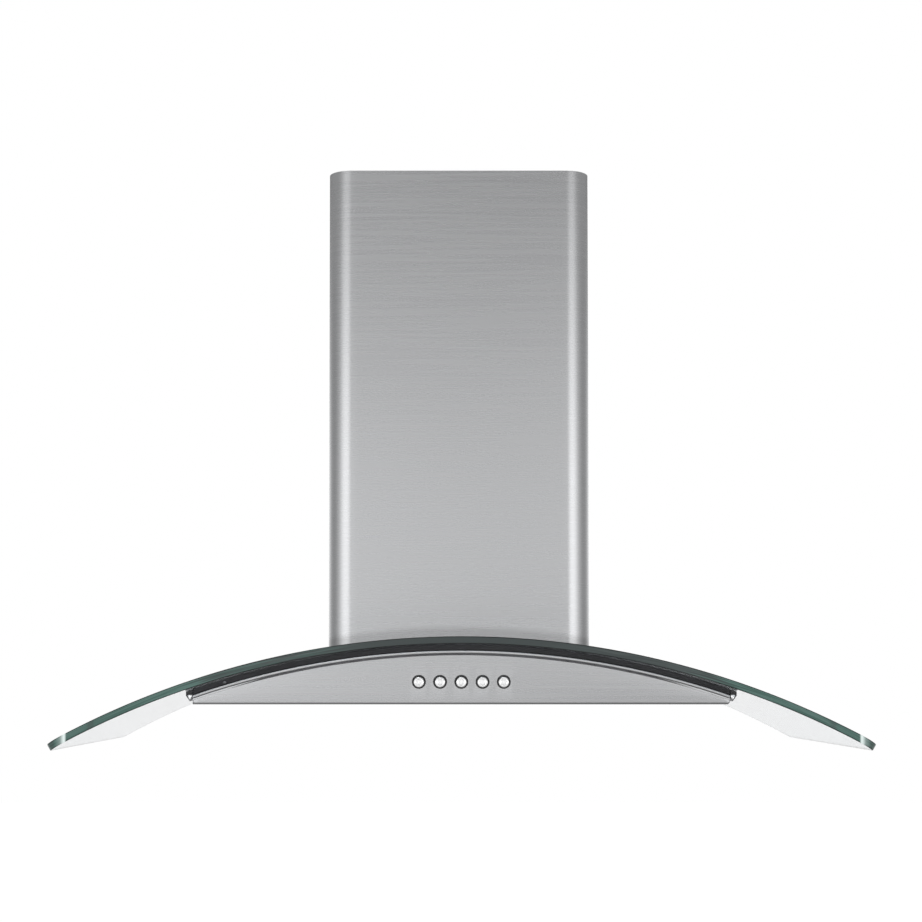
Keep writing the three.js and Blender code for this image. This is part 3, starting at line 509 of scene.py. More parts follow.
pane = bmesh.new()
outline = [
    (-glass_half, glass_rear), (-notch_half, glass_rear), (-notch_half, notch_front),
    (notch_half, notch_front), (notch_half, glass_rear), (glass_half, glass_rear),
    (glass_half, glass_front), (-glass_half, glass_front),
]
corners = [pane.verts.new((x, y, 0)) for x, y in outline]
pane.faces.new(corners)
round_corners(pane, corners[-2:], glass_corner, 12)
drawn_out(pane, (0, 0, -glass_thickness))
rim = [e for e in pane.edges if abs(e.calc_face_angle(0) - math.pi / 2) < 0.01
       and abs(e.verts[0].co.z - e.verts[1].co.z) < 1e-6]
round_edges(pane, rim, glass_arris, 2)
slice_across(pane, -glass_half, glass_half, glass_slices)
pane.normal_update()
clear_face, edge_face, arris_face = range(3)
for face in pane.faces:
    lies_flat = abs(face.normal.z) > 0.99
    stands_up = abs(face.normal.z) < 0.05
    in_front = face.calc_center_median().y <= glass_front + glass_corner
    face.material_index = clear_face
    if stands_up:
        face.material_index = edge_face
    elif in_front and not lies_flat:
        face.material_index = arris_face
bend_to_arc(pane, arc_radius)
# Both finishes carry the painted shade, reflection and highlight; the last two colours of each
# are the painted shade over the body.
edge_finish = cut_edge_glass(
    "cut_glass_edge", (0.058, 0.118, 0.1), (0.096, 0.17, 0.15),
    (0.052, 0.063, 0.063), (0.074, 0.09, 0.088),
)
arris_finish = cut_edge_glass(
    "glass_arris", (0.016, 0.028, 0.025), (0.03, 0.048, 0.043),
    (0.018, 0.02, 0.02), (0.025, 0.028, 0.028),
)
make_piece(
    "glass_pane", pane, [clear_glass(), edge_finish, arris_finish],
    "hood", ["glass_canopy"], 14,
)


# Seal bead: the front edge of the rubber seal, a soft round bead that shows as a dark arch
# between the pane and the trim.
seal_thickness = 0.0066
deck_radius = arc_radius - glass_thickness - seal_thickness
fascia_low, fascia_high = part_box("fascia_panel")
body_half = fascia_high.x
body_bottom = fascia_low.z
fascia_front = fascia_low.y
fascia_back = fascia_high.y
seal_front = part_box("glass_seal")[0].y
bead_stand = 0.0004
bead_depth = 0.004
bead_round = 0.0012


def arc_strip(y_range, upper, lower, x_range, count=60):
    """A bar between two curves z = upper(x) and z = lower(x), cut off square at both ends."""
    strip = bmesh.new()
    x_low, x_high = x_range
    bmesh.ops.create_grid(strip, x_segments=count, y_segments=1, size=0.5)
    for vert in strip.verts:
        x = x_low + (vert.co.x + 0.5) * (x_high - x_low)
        z = upper(x) if vert.co.y > 0 else lower(x)
        vert.co = (x, y_range[0], z)
    drawn_out(strip, (0, y_range[1] - y_range[0], 0))
    return strip


def edges_before(form, y):
    """The sharp edges that lie in front of a plane."""
    return [e for e in sharp_edges(form, 50) if all(v.co.y < y for v in e.verts)]


bead = arc_strip(
    (seal_front - bead_stand, seal_front + bead_depth),
    lambda x: arch_z(arc_radius - glass_thickness, x) - 0.00005,
    lambda x: arch_z(deck_radius, x) - 0.0001,
    (-body_half, body_half),
)
round_edges(bead, edges_before(bead, seal_front), bead_round, 3)
# A little lighter than the seal's rubber.
lighter_bead_rubber = soft_rubber("bead_rubber", (0.038, 0.038, 0.04), (0.052, 0.052, 0.055))
make_piece("seal_bead", bead, [lighter_bead_rubber], "hood")


# Fascia trim: a bright rolled strip of stainless that follows the arc under the seal, with
# a strip of grey rubber at the back of the groove below it, which also stands in for the
# groove's shade: its grey sets how dark the shadow gap shows.
trim_height = 0.0022
trim_nose = 0.001
trim_lead = 0.0003
trim_roll = 0.0009
trim_round = 0.0009
groove_height = 0.0032
trim_under = deck_radius - trim_height
fascia_top = trim_under - groove_height
filler_depth = 0.003
filler_reach = 0.007
filler_inset = 0.0018
filler_foot = 0.0025


def bright_metal(name, roughness=0.12, dark=(0.86, 0.87, 0.88), pale=(0.93, 0.935, 0.94)):
    finish = Finish(name, {"Metallic": 1.0})
    smear_and_painted_reflection = finish.noise((60, 60, 60), 3.0)
    finish.colour(finish.mixed(smear_and_painted_reflection, dark, pale))
    finish.rough(roughness + 0.08 * smear_and_painted_reflection)
    return finish.material


trim = arc_strip(
    (fascia_front - trim_nose, fascia_back),
    lambda x: arch_z(deck_radius - trim_lead, x),
    lambda x: arch_z(trim_under - trim_roll, x),
    (-body_half, body_half),
)
round_edges(trim, edges_before(trim, fascia_front), trim_round, 4)
trim_steel = bright_metal("trim_steel", 0.3, (0.49, 0.495, 0.505), (0.57, 0.575, 0.58))
make_piece("trim_strip", trim, [trim_steel], "hood", ["fascia_trim"])

groove = arc_strip(
    (fascia_back - filler_depth, fascia_back),
    lambda x: arch_z(trim_under - trim_roll, x),
    lambda x: max(arch_z(fascia_top - filler_reach, x), body_bottom + filler_foot),
    (-body_half + filler_inset, body_half - filler_inset),
)
# The strip's grey stands in for the shade of the groove.
groove_shade_grey = soft_rubber("groove_shade_rubber", (0.55, 0.55, 0.58), (0.62, 0.62, 0.65))
make_piece("groove_filler", groove, [groove_shade_grey], "hood", ["groove_strip"])


# Fascia panel: a bow-shaped pan folded from brushed sheet, its lower edge rounded over.
# Towards each end a folded lip rises out of the groove above it.
fascia_sheet = 0.0015
fascia_slices = 60
fascia_hole = 0.0072
fold_radius = 0.0019
fold_steps = 5
left_corner = 0.0008
right_corner = 0.0038
corner_zone = 0.008


def centre_of(node):
    """The middle of a CAD node's box."""
    low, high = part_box(node)
    return (low + high) / 2


def carved(form, cutter):
    """Takes one closed form out of another."""
    holders = []
    for label, source in (("whole", form), ("tool", cutter)):
        mesh = bpy.data.meshes.new(label)
        source.to_mesh(mesh)
        source.free()
        holder = bpy.data.objects.new(label, mesh)
        scene.collection.objects.link(holder)
        holders.append(holder)
    carve = holders[0].modifiers.new("carve", "BOOLEAN")
    carve.object = holders[1]
    carve.operation = "DIFFERENCE"
    carve.solver = "EXACT"
    result = bmesh.new()
    result.from_object(holders[0], bpy.context.evaluated_depsgraph_get())
    for holder in holders:
        bpy.data.objects.remove(holder)
    return result


def corner_points(side, radius, inset):
    """A lower corner of the pan seen from the front, drawn in by an inset."""
    reach = max(radius, inset)
    centre_x = side * (body_half - reach)
    centre_z = body_bottom + reach
    kept = max(radius - inset, 0)
    angles = [math.pi / 2 * i / fold_steps for i in range(fold_steps + 1)]
    points = [
        (centre_x + side * kept * math.cos(angle), centre_z - kept * math.sin(angle))
        for angle in angles
    ]
    return points if side < 0 else points[::-1]


def pan_outline(inset):
    """The pan's left side, bottom and right side, drawn in by an inset."""
    edge = body_half - inset
    top = arch_z(fascia_top, edge)
    spread = body_half - corner_zone
    shares = [2 * i / fascia_slices - 1 for i in range(fascia_slices + 1)]
    return [
        (-edge, top), *corner_points(-1, left_corner, inset),
        *[(spread * share, body_bottom + inset) for share in shares],
        *corner_points(1, right_corner, inset), (edge, top),
    ]


def thickened(form, wall):
    """Turns the faces of an open sheet outwards, and gives it a wall on the inside."""
    bmesh.ops.recalc_face_normals(form, faces=form.faces[:])
    foremost = min(form.faces, key=lambda f: f.calc_center_median().y)
    if foremost.normal.y > 0:
        bmesh.ops.reverse_faces(form, faces=form.faces[:])
    bmesh.ops.solidify(form, geom=form.faces[:], thickness=wall)


def row_of_points(form, points, y):
    """A row of points joined by edges, seen from the front as x and z."""
    row = [form.verts.new((x, y, z)) for x, z in points]
    for pair in zip(row, row[1:]):
        form.edges.new(pair)
    return row


def joined_rows(form, first_row, second_row):
    """Fills the gap between two rows of points with a strip of faces."""
    edges = []
    for row in (first_row, second_row):
        edges += [form.edges.get(pair) for pair in zip(row, row[1:])]
    bmesh.ops.bridge_loops(form, edges=edges)


pan = bmesh.new()
rows = []
for i in range(fold_steps + 1):
    fold = math.pi / 2 * i / fold_steps
    inset = fold_radius * (1 - math.sin(fold))
    y = fascia_front + fold_radius * (1 - math.cos(fold))
    rows.append(row_of_points(pan, pan_outline(inset), y))
rows.append(row_of_points(pan, pan_outline(0), fascia_back))
for near_row, far_row in zip(rows, rows[1:]):
    joined_rows(pan, near_row, far_row)
front_row = rows[0]
bottom_start = 1 + fold_steps + 1
bottom_end = bottom_start + fascia_slices + 1
bottom_row = front_row[bottom_start:bottom_end]
top_points = [(v.co.x, arch_z(fascia_top, v.co.x)) for v in bottom_row]
top_row = row_of_points(pan, top_points, fascia_front)
joined_rows(pan, bottom_row, top_row)
pan.faces.new([*front_row[:bottom_start + 1], top_row[0]])
pan.faces.new([top_row[-1], *front_row[bottom_end - 1:]])
bmesh.ops.remove_doubles(pan, verts=pan.verts[:], dist=1e-6)
thickened(pan, fascia_sheet)

button_count = 5
button_z = centre_of("push_button_3").z
button_pitch = (centre_of("push_button_5").x - centre_of("push_button_3").x) / 2
button_places = [(i - button_count // 2) * button_pitch for i in range(button_count)]
drill_length = 0.02
drill = bmesh.new()
for x in button_places:
    middle = Matrix.Translation((x, fascia_front, button_z))
    bmesh.ops.create_cone(
        drill, cap_ends=True, segments=32, radius1=fascia_hole, radius2=fascia_hole,
        depth=drill_length, matrix=middle @ Matrix.Rotation(math.pi / 2, 4, "X"),
    )


def painted_fascia_shade(finish):
    """Painted shade and reflection: the sheet is darker along the bottom fold, for the dark
    below that the bend mirrors, and a little darker towards the trim, for the shade under the
    canopy.
    """
    low = finish.axis("Z") - body_bottom
    fold = finish.between(low, fold_radius, 1.5 * fold_radius, 0.8, 0.0)
    return fold + finish.between(low, 0.005, 0.05, 0.0, 0.2)


fascia_steel = brushed_steel("fascia_steel", (9, 900, 1000), 0.3, 0.4, painted_fascia_shade)
make_piece(
    "fascia_pan", carved(pan, drill), [fascia_steel], "hood", ["fascia_panel"]
)

lip_steel = brushed_steel("lip_steel", (9, 900, 900))
lip_gap = 0.0015
lip_height = 0.0015
lip_start = 0.215
lip_end = body_half - 0.0005
lip_run_out = 0.04


def lip_low(x):
    """The lip's lower edge sinks to its full height towards the end."""
    share = min(1, max(0.05, (abs(x) - lip_start) / lip_run_out))
    return arch_z(trim_under - lip_gap - lip_height * share, x)


both_sides = (("left", -1), ("right", 1))
for name, side in both_sides:
    lip = arc_strip(
        (fascia_front + 0.0004, fascia_back - 0.005),
        lambda x: arch_z(trim_under - lip_gap, x),
        lip_low,
        sorted((side * lip_start, side * lip_end)),
        fascia_slices // 2,
    )
    make_piece("fascia_lip_" + name, lip, [lip_steel], "hood")


# End caps and clips: a moulded black plug closes each end of the seal, held by a small pin,
# and a V-shaped spring clip hangs under it. A dull rivet holds the seal on the left.
def black_plastic(name):
    finish = Finish(name, {"Specular IOR Level": 0.5})
    grain = finish.noise((1400, 1400, 1400), 2.0)
    tint = finish.noise((40, 40, 40), 2.0)
    finish.colour(finish.mixed(tint, (0.016, 0.016, 0.017), (0.026, 0.026, 0.028)))
    finish.rough(0.34 + 0.14 * grain)
    finish.bump(grain, 0.00002)
    return finish.material


moulded = black_plastic("moulded_black")
chrome = bright_metal("polished_chrome")
spring_steel = bright_metal("spring_steel", 0.3, (0.16, 0.16, 0.17), (0.26, 0.26, 0.27))
dress(["end_cap_left", "end_cap_right"], moulded, 0.0009)


def swept_bar(points, y_range):
    """A closed outline of (x, z) points drawn out along Y."""
    bar = bmesh.new()
    bar.faces.new([bar.verts.new((x, y_range[0], z)) for x, z in points])
    drawn_out(bar, (0, y_range[1] - y_range[0], 0))
    return bar


def turned(profile, axis, centre, steps=40):
    """A profile of (radius, distance along Y or Z), turned into a closed form."""
    form = bmesh.new()
    along = Vector((0, 1, 0) if axis == "Y" else (0, 0, 1))
    out = Vector((1, 0, 0))
    centre = Vector(centre)
    verts = [form.verts.new(centre + out * radius + along * far) for radius, far in profile]
    edges = [form.edges.new(pair) for pair in zip(verts, verts[1:])]
    bmesh.ops.spin(
        form, geom=verts + edges, cent=centre, axis=along, angle=math.tau, steps=steps,
        use_merge=True, use_duplicate=False,
    )
    bmesh.ops.remove_doubles(form, verts=form.verts[:], dist=1e-6)
    bmesh.ops.recalc_face_normals(form, faces=form.faces[:])
    return form


def domed(radius, height, centre):
    """A low dome that faces the front, on a short stem."""
    profile = [
        (0, 0), (0.5 * radius, 0.06 * height), (0.85 * radius, 0.35 * height),
        (radius, height), (0.6 * radius, height), (0.6 * radius, 2 * height), (0, 2 * height),
    ]
    return turned(profile, "Y", centre, 20)


rivet_place = Vector((-0.2597, seal_front - 0.0015, -0.0157))
rivet_radius = 0.0013
rivet_rise = 0.0012
rivet_stretch = (1.35, 1, 1)
rivet = domed(rivet_radius, rivet_rise, rivet_place)
bmesh.ops.scale(
    rivet, verts=rivet.verts[:], vec=rivet_stretch, space=Matrix.Translation(-rivet_place)
)
make_piece("seal_rivet", rivet, [spring_steel], "hood")

pin_radius = 0.0009
pin_rise = 0.0006
for name, side in both_sides:
    low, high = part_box("end_cap_" + name)
    pin_x = side * (body_half + 0.0028)
    pin = domed(pin_radius, pin_rise, (pin_x, low.y + 0.0001, high.z - 0.0021))
    make_piece("cap_pin_" + name, pin, [chrome], "hood")

clip_sheet = 0.0006
clip_slack = 0.0001
for name, side in both_sides:
    low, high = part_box("end_clip_" + name)
    near = min(abs(low.x), abs(high.x)) + clip_slack
    far = max(abs(low.x), abs(high.x)) - clip_slack
    foot = (near + 0.0024, low.z + 0.0002)
    outer_top = (far, high.z - 0.0014)
    inner_top = (near, high.z - 0.0036)
    bent = [
        outer_top, foot, inner_top, (inner_top[0] + clip_sheet, inner_top[1] + 0.0002),
        (foot[0] + 0.0002, foot[1] + 1.6 * clip_sheet),
        (outer_top[0] - 1.1 * clip_sheet, outer_top[1] + 0.0003),
    ]
    spring = swept_bar([(side * x, z) for x, z in bent], (low.y, high.y))
    round_edges(spring, sharp_edges(spring, 50), 0.00015, 1)
    make_piece(
        "clip_spring_" + name, spring, [spring_steel], "hood", ["end_clip_" + name]
    )
    tongue = [
        (near + 0.0008, high.z - 0.0034), (foot[0] + 0.0002, foot[1] + 0.0013),
        (far - 0.0014, high.z - 0.0010), (far - 0.0018, high.z - 0.0002),
        (near + 0.0004, high.z - 0.0002),
    ]
    filler = swept_bar([(side * x, z) for x, z in tongue], (low.y + 0.0003, high.y - 0.0004))
    round_edges(filler, sharp_edges(filler, 50), 0.0002, 2)
    make_piece("clip_tongue_" + name, filler, [chrome], "hood")


# Push buttons: a satin silver cap with a shallow ring turned in its face, on a round stem,
# hanging a little low inside a black collar. The stems reach into a switch block of pale
# moulded plastic behind the panel.
def silver_cap(name):
    finish = Finish(name, {"Metallic": 0.7})
    smear_and_painted_reflection = finish.noise((400, 400, 400), 2.0)
    finish.colour(finish.mixed(smear_and_painted_reflection, (0.95, 0.955, 0.96), (0.99, 0.99, 0.99)))
    finish.rough(0.26 + 0.1 * smear_and_painted_reflection)
    return finish.material


silver = silver_cap("silver_cap")
button_low, button_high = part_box("push_button_3")
collar_low, collar_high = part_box("button_bezel_3")
face_y = button_low.y
stem_end = button_high.y
collar_front = collar_low.y
collar_back = collar_high.y
cap_radius = 0.0057
cap_back = collar_back - 0.0033
cap_drop = 0.0003
stem_radius = 0.0030
button_profile = [
    (0, face_y + 0.0004), (0.0020, face_y + 0.0004), (0.0023, face_y + 0.0008),
    (0.0028, face_y + 0.0008), (0.0031, face_y + 0.0003), (0.0042, face_y),
    (0.0049, face_y + 0.0001), (0.0054, face_y + 0.0004), (cap_radius, face_y + 0.0010),
    (cap_radius, cap_back), (stem_radius, cap_back), (stem_radius, stem_end), (0, stem_end),
]
flange_radius = 0.00765
flange_back = fascia_front - 0.0003
sleeve_radius = 0.0069
collar_bore = 0.0061
collar_profile = [
    (collar_bore, collar_front + 0.0003), (collar_bore + 0.0003, collar_front),
    (flange_radius - 0.0006, collar_front), (flange_radius - 0.0001, collar_front + 0.0005),
    (flange_radius, collar_front + 0.0011), (flange_radius, flange_back),
    (sleeve_radius, flange_back), (sleeve_radius, collar_back), (collar_bore, collar_back),
    (collar_bore, collar_front + 0.0003),
]
for i, x in enumerate(button_places):
    number = str(i + 1)
    cap = turned(button_profile, "Y", (x, 0, button_z - cap_drop))
    make_piece(
        "button_cap_" + number, cap, [silver], "button_" + number,
        ["push_button_" + number],
    )
    collar = turned(collar_profile, "Y", (x, 0, button_z))
    make_piece(
        "button_collar_" + number, collar, [moulded], "hood",
        ["button_bezel_" + number],
    )


def white_plastic(name):
    finish = Finish(name, {})
    tint = finish.noise((30, 30, 30), 2.0)
    finish.colour(finish.mixed(tint, (0.76, 0.76, 0.73), (0.84, 0.84, 0.81)))
    finish.rough(0.4 + 0.1 * tint)
    return finish.material


pale_plastic = white_plastic("pale_plastic")
dress(["switch_block"], pale_plastic)


# Base plate: a brushed sheet with two filter openings and two lamp holes, held to the body
# by four round-headed screws with a cross recess.
base_steel = brushed_steel("base_steel", (9, 1100, 1100))
dress(["base_plate"], base_steel, 0.0003)
recess_run_in = 0.001


def bar_between(low, high, form=None):
    """A square bar between two corners, added to a form."""
    form = form or bmesh.new()
    low, high = Vector(low), Vector(high)
    place = Matrix.Translation((low + high) / 2) @ Matrix.Diagonal((*(high - low), 1))
    bmesh.ops.create_cube(form, size=1, matrix=place)
    return form


def screw_head(node, axis):
    """A pan head with a cross recess, its top at the low end of the node's box along Y or Z."""
    low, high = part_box(node)
    letter = "XYZ".index(axis)
    radius = (high.x - low.x) / 2
    top = low[letter]
    foot = high[letter]
    thick = foot - top
    base = centre_of(node)
    base[letter] = 0
    profile = [
        (0, top), (0.45 * radius, top + 0.04 * thick), (0.75 * radius, top + 0.22 * thick),
        (0.94 * radius, top + 0.52 * thick), (radius, top + 0.85 * thick), (radius, foot),
        (0, foot),
    ]
    head = turned(profile, axis, base, 28)
    long_arm = 0.55 * radius
    short_arm = 0.16 * radius
    for wide, tall in ((long_arm, short_arm), (short_arm, long_arm)):
        arm = Vector((wide, 0, tall) if axis == "Y" else (wide, tall, 0))
        near, far = base - arm, base + arm
        near[letter] = top - recess_run_in
        far[letter] = top + 0.5 * thick
        recess = bar_between(near, far)
        bmesh.ops.recalc_face_normals(recess, faces=recess.faces[:])
        head = carved(head, recess)
    return head


for place in ("left_front", "left_rear", "right_front", "right_rear"):
    node = "base_screw_" + place
    make_piece("screw_" + place, screw_head(node, "Z"), [chrome], "hood", [node])


# Grease filters: an aluminium frame with a diamond mesh over knitted layers, hinged on two
# tabs at the back and held at the front by a sprung catch with a finger dip.
def rolled_aluminium(finish):
    """The fine lines of rolled aluminium, and its colour with faint clouds."""
    lines = finish.noise((4, 700, 700), 3.0)
    cloud = finish.noise((14, 14, 14), 3.0)
    return lines, finish.mixed(cloud, (0.6, 0.605, 0.61), (0.74, 0.745, 0.75))


def mill_aluminium(name):
    finish = Finish(name, {"Metallic": 1.0})
    lines, bare_metal = rolled_aluminium(finish)
    finish.colour(bare_metal)
    finish.rough(0.34 + 0.12 * lines)
    finish.bump(lines, 0.000008)
    return finish.material


def filter_metal(name, field_x, field_y, field_z):
    """An aluminium frame round a field of knitted wire. The field has painted shade: it is
    darker, and darkest between the loops, for the depth of the knitted layers. Both filters are
    alike, so the field is given for the right one and read on both sides of the middle."""
    finish = Finish(name, {"Metallic": 0.9})
    lines, bare_metal = rolled_aluminium(finish)
    knit = finish.noise((420, 420, 420), 3.0)
    loops = finish.node("ShaderNodeTexVoronoi", {}, {
        "Vector": finish.stretched((330, 330, 20)), "Scale": 1.0,
    })
    x = finish.node("ShaderNodeMath", {"operation": "ABSOLUTE"}, [finish.axis("X")])
    y = finish.axis("Y")
    inside = (x > field_x[0]) * (x < field_x[1]) * (y > field_y[0]) * (y < field_y[1])
    inside = inside * (finish.axis("Z") > field_z)
    # Knitted loops, with painted shade between them and over the whole field.
    knitted = finish.mixed(loops, (0.44, 0.45, 0.46), (0.09, 0.092, 0.096))
    finish.colour(finish.mixed(inside, bare_metal, knitted))
    finish.rough(0.34 + 0.12 * lines + 0.1 * inside)
    finish.bump(knit * inside, 0.0004)
    return finish.material


filter_low, filter_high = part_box("grease_filter_right")
border = 0.013
field_x = (filter_low.x + border, filter_high.x - border)
field_y = (-0.3157, -0.056)
web_under = -0.034896
aluminium = mill_aluminium("mill_aluminium")
framed = filter_metal("filter_metal", field_x, field_y, filter_low.z + 0.0002)
dress(["grease_filter_left", "grease_filter_right"], framed, 0.0005)
dress(["filter_catch_left", "filter_catch_right"], moulded, 0.0005)

diamond_width = 0.0095
diamond_height = 0.0056
strand = 0.0009
mesh_gap = 0.0004
mesh_drop = 0.0006


def diamond_mesh(x_range, y_range, z):
    """Expanded metal: a turned and stretched grid of strands, trimmed to a rectangle."""
    mesh = bmesh.new()
    half_x = (x_range[1] - x_range[0]) / 2
    half_y = (y_range[1] - y_range[0]) / 2
    across = math.ceil(half_x / diamond_width + half_y / diamond_height)
    count = 2 * across + 4
    bmesh.ops.create_grid(
        mesh, x_segments=count, y_segments=count, size=count / 2,
        matrix=Matrix.Rotation(math.pi / 4, 4, "Z"),
    )
    shrink = (diamond_width / math.sqrt(2), diamond_height / math.sqrt(2), 1)
    bmesh.ops.scale(mesh, verts=mesh.verts[:], vec=shrink)
    for normal, reach in (((1, 0, 0), half_x), ((-1, 0, 0), half_x),
                          ((0, 1, 0), half_y), ((0, -1, 0), half_y)):
        everything = mesh.verts[:] + mesh.edges[:] + mesh.faces[:]
        bmesh.ops.bisect_plane(
            mesh, geom=everything, dist=1e-6, plane_co=Vector(normal) * reach,
            plane_no=normal, clear_outer=True,
        )
    bmesh.ops.wireframe(
        mesh, faces=mesh.faces[:], thickness=strand, offset=0, use_replace=True,
        use_boundary=True, use_even_offset=False,
    )
    middle = ((x_range[0] + x_range[1]) / 2, (y_range[0] + y_range[1]) / 2, z)
    bmesh.ops.translate(mesh, verts=mesh.verts[:], vec=middle)
    return mesh


for name, side in both_sides:
    span = sorted(side * x for x in field_x)
    grid = diamond_mesh(
        (span[0] + mesh_gap, span[1] - mesh_gap), (field_y[0] + mesh_gap, field_y[1] - mesh_gap),
        web_under - mesh_drop,
    )
    make_piece("filter_mesh_" + name, grid, [aluminium], "filter_" + name)


# Lamps: a bright ring from below with a frosted lens pressed into it, and a zinc-coated can
# above the base plate.
def frosted_glass(name):
    finish = Finish(name, {"Transmission Weight": 0.6, "IOR": 1.45})
    speckle = finish.noise((500, 500, 500), 2.0)
    finish.colour(finish.mixed(speckle, (0.86, 0.85, 0.82), (0.95, 0.94, 0.91)))
    finish.rough(0.4 + 0.2 * speckle)
    finish.bump(speckle, 0.0001)
    return finish.material


frosted = frosted_glass("frosted_lens")
ring_thickness = 0.0015
lens_gap = 0.0002
ripple_count = 9
ripple_depth = 0.0002
for name in ("left", "right"):
    ring_low, ring_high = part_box("lamp_bezel_" + name)
    lens_low, lens_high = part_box("lamp_lens_" + name)
    middle = centre_of("lamp_bezel_" + name)
    middle.z = 0
    outer_radius = (ring_high.x - ring_low.x) / 2
    lens_radius = (lens_high.x - lens_low.x) / 2
    sleeve_bore = lens_radius + lens_gap
    sleeve_outside = lens_radius + 0.0026
    under = ring_low.z
    seat = under + ring_thickness
    ring_profile = [
        (sleeve_bore, lens_low.z), (lens_radius + 0.0005, under + 0.0003),
        (lens_radius + 0.0012, under), (outer_radius - 0.0022, under),
        (outer_radius - 0.0009, under + 0.0003), (outer_radius, seat - 0.0004),
        (outer_radius, seat), (sleeve_outside, seat), (sleeve_outside, ring_high.z),
        (sleeve_bore, ring_high.z), (sleeve_bore, lens_low.z),
    ]
    ring = turned(ring_profile, "Z", middle, 64)
    make_piece("lamp_ring_" + name, ring, [chrome], "hood", ["lamp_bezel_" + name])
    ripples = []
    for i in range(ripple_count):
        radius = lens_radius * (1 - i / ripple_count) - 0.0004
        ripples.append((radius, lens_low.z + ripple_depth * (i % 2)))
    lens_profile = [
        (0, lens_high.z), (lens_radius, lens_high.z), (lens_radius, lens_low.z + 0.0005),
        *ripples, (0, lens_low.z),
    ]
    lens = turned(lens_profile, "Z", middle, 48)
    make_piece(
        "lamp_glass_" + name, lens, [frosted], "hood", ["lamp_lens_" + name], 20
    )


def zinc_sheet(name):
    """Galvanised sheet, with the broad flakes of its zinc coat."""
    finish = Finish(name, {"Metallic": 0.85})
    flakes = finish.node("ShaderNodeTexVoronoi", {}, {
        "Vector": finish.stretched((90, 90, 90)), "Scale": 1.0,
    }, "Color")
    shade = finish.node("ShaderNodeSeparateColor", {}, [flakes])
    cloud = finish.noise((12, 12, 12), 3.0)
    finish.colour(finish.mixed(shade * 0.7 + cloud * 0.3, (0.42, 0.43, 0.45), (0.6, 0.61, 0.63)))
    finish.rough(0.38 + 0.16 * shade)
    return finish.material


zinc = zinc_sheet("zinc_sheet")
dress(["lamp_can_left", "lamp_can_right"], zinc, 0.0)


# Motor box and wall fixings: zinc-coated sheet, spot welded, standing on the deck, and hung
# on the wall by a folded hanger with two screws.
dress(["motor_box", "wall_hanger", "chimney_bracket"], zinc, 0.0003)
for name in ("left", "right"):
    node = "hanger_screw_" + name
    make_piece("wall_screw_" + name, screw_head(node, "Y"), [chrome], "hood", [node])


# Blower: a folded and seamed scroll of zinc-coated sheet, with the motor held in it by a
# wire spider, and a moulded black impeller pressed on the motor's bright shaft.
dress(["blower_scroll", "motor_can", "motor_spider"], zinc, 0.0)
dress(["inlet_ring_left", "inlet_ring_right", "impeller"], moulded, 0.0)
dress(["motor_shaft"], chrome, 0.0)


# Duct collar: a spun spigot of zinc-coated sheet with a rolled bead round it and a flange
# riveted to the motor box. Two half-round aluminium flaps hang on a rod across it.
spigot_low, spigot_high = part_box("duct_collar")
duct_sheet = 0.0015
duct_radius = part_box("flap_rod")[1].x
duct_flange = spigot_high.x
duct_bore = duct_radius - duct_sheet
duct_y = centre_of("duct_collar").y
flange_top = spigot_low.z + duct_sheet
flap_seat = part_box("damper_flap_front")[0].z - 0.0001
seat_bore = duct_bore - 0.003
bead_z = spigot_high.z - 0.010
bead_rise = 0.0014
spigot_profile = [
    (duct_bore, spigot_low.z), (duct_flange - 0.0004, spigot_low.z),
    (duct_flange, spigot_low.z + 0.0004), (duct_flange, flange_top),
    (duct_radius + 0.0018, flange_top), (duct_radius + 0.0005, flange_top + 0.0005),
    (duct_radius, flange_top + 0.0018),
    (duct_radius, bead_z - 0.0025), (duct_radius + 0.0010, bead_z - 0.0016),
    (duct_radius + bead_rise, bead_z),
    (duct_radius + 0.0010, bead_z + 0.0016), (duct_radius, bead_z + 0.0025),
    (duct_radius, spigot_high.z - 0.0005), (duct_radius - 0.0005, spigot_high.z),
    (duct_bore + 0.0004, spigot_high.z), (duct_bore, spigot_high.z - 0.0004),
    (duct_bore, flap_seat), (seat_bore, flap_seat), (seat_bore, flap_seat - 0.002),
    (duct_bore, flap_seat - 0.004), (duct_bore, spigot_low.z),
]
spigot = turned(spigot_profile, "Z", (0, duct_y, 0), 96)

rod_hole_radius = 0.0024
rod_hole_length = 0.2
rod_place = Matrix.Translation((0, duct_y, centre_of("flap_rod").z))
rod_hole = bmesh.new()
bmesh.ops.create_cone(
    rod_hole, cap_ends=True, segments=24, radius1=rod_hole_radius, radius2=rod_hole_radius,
    depth=rod_hole_length, matrix=rod_place @ Matrix.Rotation(math.pi / 2, 4, "Y"),
)
make_piece(
    "duct_spigot", carved(spigot, rod_hole), [zinc], "hood", ["duct_collar"]
)
dress(["damper_flap_front", "damper_flap_rear"], aluminium, 0.0)
dress(["flap_rod"], chrome, 0.0)

rivet_count = 8
rivet_ring = duct_flange - 0.0045
rivet_profile = [
    (0, flange_top + 0.0011), (0.0010, flange_top + 0.0010), (0.0018, flange_top + 0.0005),
    (0.0021, flange_top), (0, flange_top),
]
for i in range(rivet_count):
    angle = math.tau * (i + 0.5) / rivet_count
    place = (rivet_ring * math.cos(angle), duct_y + rivet_ring * math.sin(angle), 0)
    flange_rivet = turned(rivet_profile, "Z", place, 16)
    make_piece("duct_rivet_" + str(i + 1), flange_rivet, [aluminium], "hood")


# Electrics on the sides of the motor box: a moulded black mains box with a screwed-in
# gland, and the pale plastic can of the motor's capacitor, each held by its own screws.
dress(["mains_box", "cable_gland"], moulded, 0.001)
dress(["run_capacitor"], pale_plastic, 0.001)


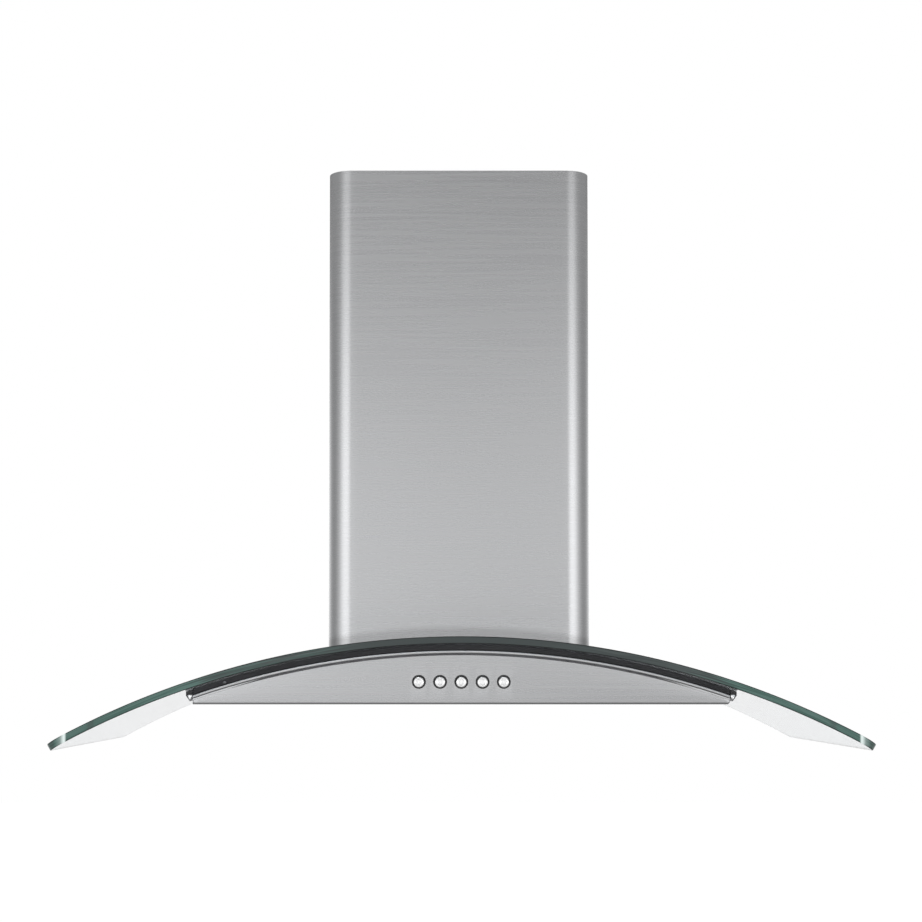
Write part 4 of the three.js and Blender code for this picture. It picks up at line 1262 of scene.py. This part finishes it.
# Chimney: two covers folded from brushed sheet with round front corners. The outer one
# stands on the glass, its foot cut to the curve, and the inner one slides up inside it.
chimney_corner = 0.028
flange_width = 0.02
flange_bend = 0.002
cover_wall = 0.0012
extension_corner = 0.0263
extension_wall = 0.001
foot_gap = 0.0003
corner_steps = 20
cover_slices = 36


def uprights(form):
    """The edges that run from a cover's foot to its top."""
    return [e for e in form.edges if abs(e.verts[0].co.z - e.verts[1].co.z) > 0.1]


def chimney_sheet(node, corner, wall, on_glass):
    """A U-shaped cover with small flanges turned in at the wall."""
    low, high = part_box(node)
    path = [
        (high.x - flange_width, high.y), (high.x, high.y), (high.x, low.y),
        (low.x, low.y), (low.x, high.y), (low.x + flange_width, high.y),
    ]
    cover = bmesh.new()
    verts = [cover.verts.new((x, y, low.z)) for x, y in path]
    edges = [cover.edges.new(pair) for pair in zip(verts, verts[1:])]
    raised = bmesh.ops.extrude_edge_only(cover, edges=edges)
    shift_new(cover, raised, (0, 0, high.z - low.z))
    front = [e for e in uprights(cover) if e.verts[0].co.y < low.y + 1e-5]
    round_edges(cover, front, corner, corner_steps)
    rear = [e for e in uprights(cover) if e.verts[0].co.y > high.y - 1e-5
            and abs(e.verts[0].co.x) > high.x - 1e-5]
    round_edges(cover, rear, flange_bend, 3)
    slice_across(cover, -high.x + corner, high.x - corner, cover_slices)
    if on_glass:
        for vert in cover.verts:
            if vert.co.z < low.z + 1e-6:
                vert.co.z = arch_z(arc_radius + foot_gap, vert.co.x)
    thickened(cover, wall)
    return cover


slot_count = 5
slot_pitch = 0.013
slot_height = 0.005
slot_length = 0.06
slot_margin = 0.026
slot_middle = -0.135
slot_bite = 0.004


def vented(cover, node):
    """Cuts a stack of round-ended air slots through both sides of a cover."""
    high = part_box(node)[1]
    cutter = bmesh.new()
    for side in (-1, 1):
        for i in range(slot_count):
            top = high.z - slot_margin - i * slot_pitch
            wall_x = side * high.x
            near = (wall_x - slot_bite, slot_middle - slot_length / 2, top - slot_height)
            far = (wall_x + slot_bite, slot_middle + slot_length / 2, top)
            bar_between(near, far, cutter)
    ends = [e for e in cutter.edges if abs(e.verts[0].co.x - e.verts[1].co.x) > slot_bite]
    round_edges(cutter, ends, slot_height * 0.49, 4)
    bmesh.ops.recalc_face_normals(cutter, faces=cutter.faces[:])
    return carved(cover, cutter)


def painted_foot_shade(finish):
    """Painted shade and reflection: the cover is darker over its last two centimetres, just
    above the glass, for the dark glass and body that it mirrors there.
    """
    return finish.between(arc_reach(finish) - arc_radius, 0.010, 0.021, 0.62, 0.0)


chimney_steel = brushed_steel("chimney_steel", (20, 20, 900), 0.4, 0.35, painted_foot_shade)
outer = chimney_sheet("outer_chimney", chimney_corner, cover_wall, True)
make_piece("chimney_cover", outer, [chimney_steel], "hood", ["outer_chimney"])
inner = chimney_sheet("inner_chimney", extension_corner, extension_wall, False)
make_piece(
    "chimney_extension", vented(inner, "inner_chimney"), [chimney_steel], "chimney_slide",
    ["inner_chimney"],
)
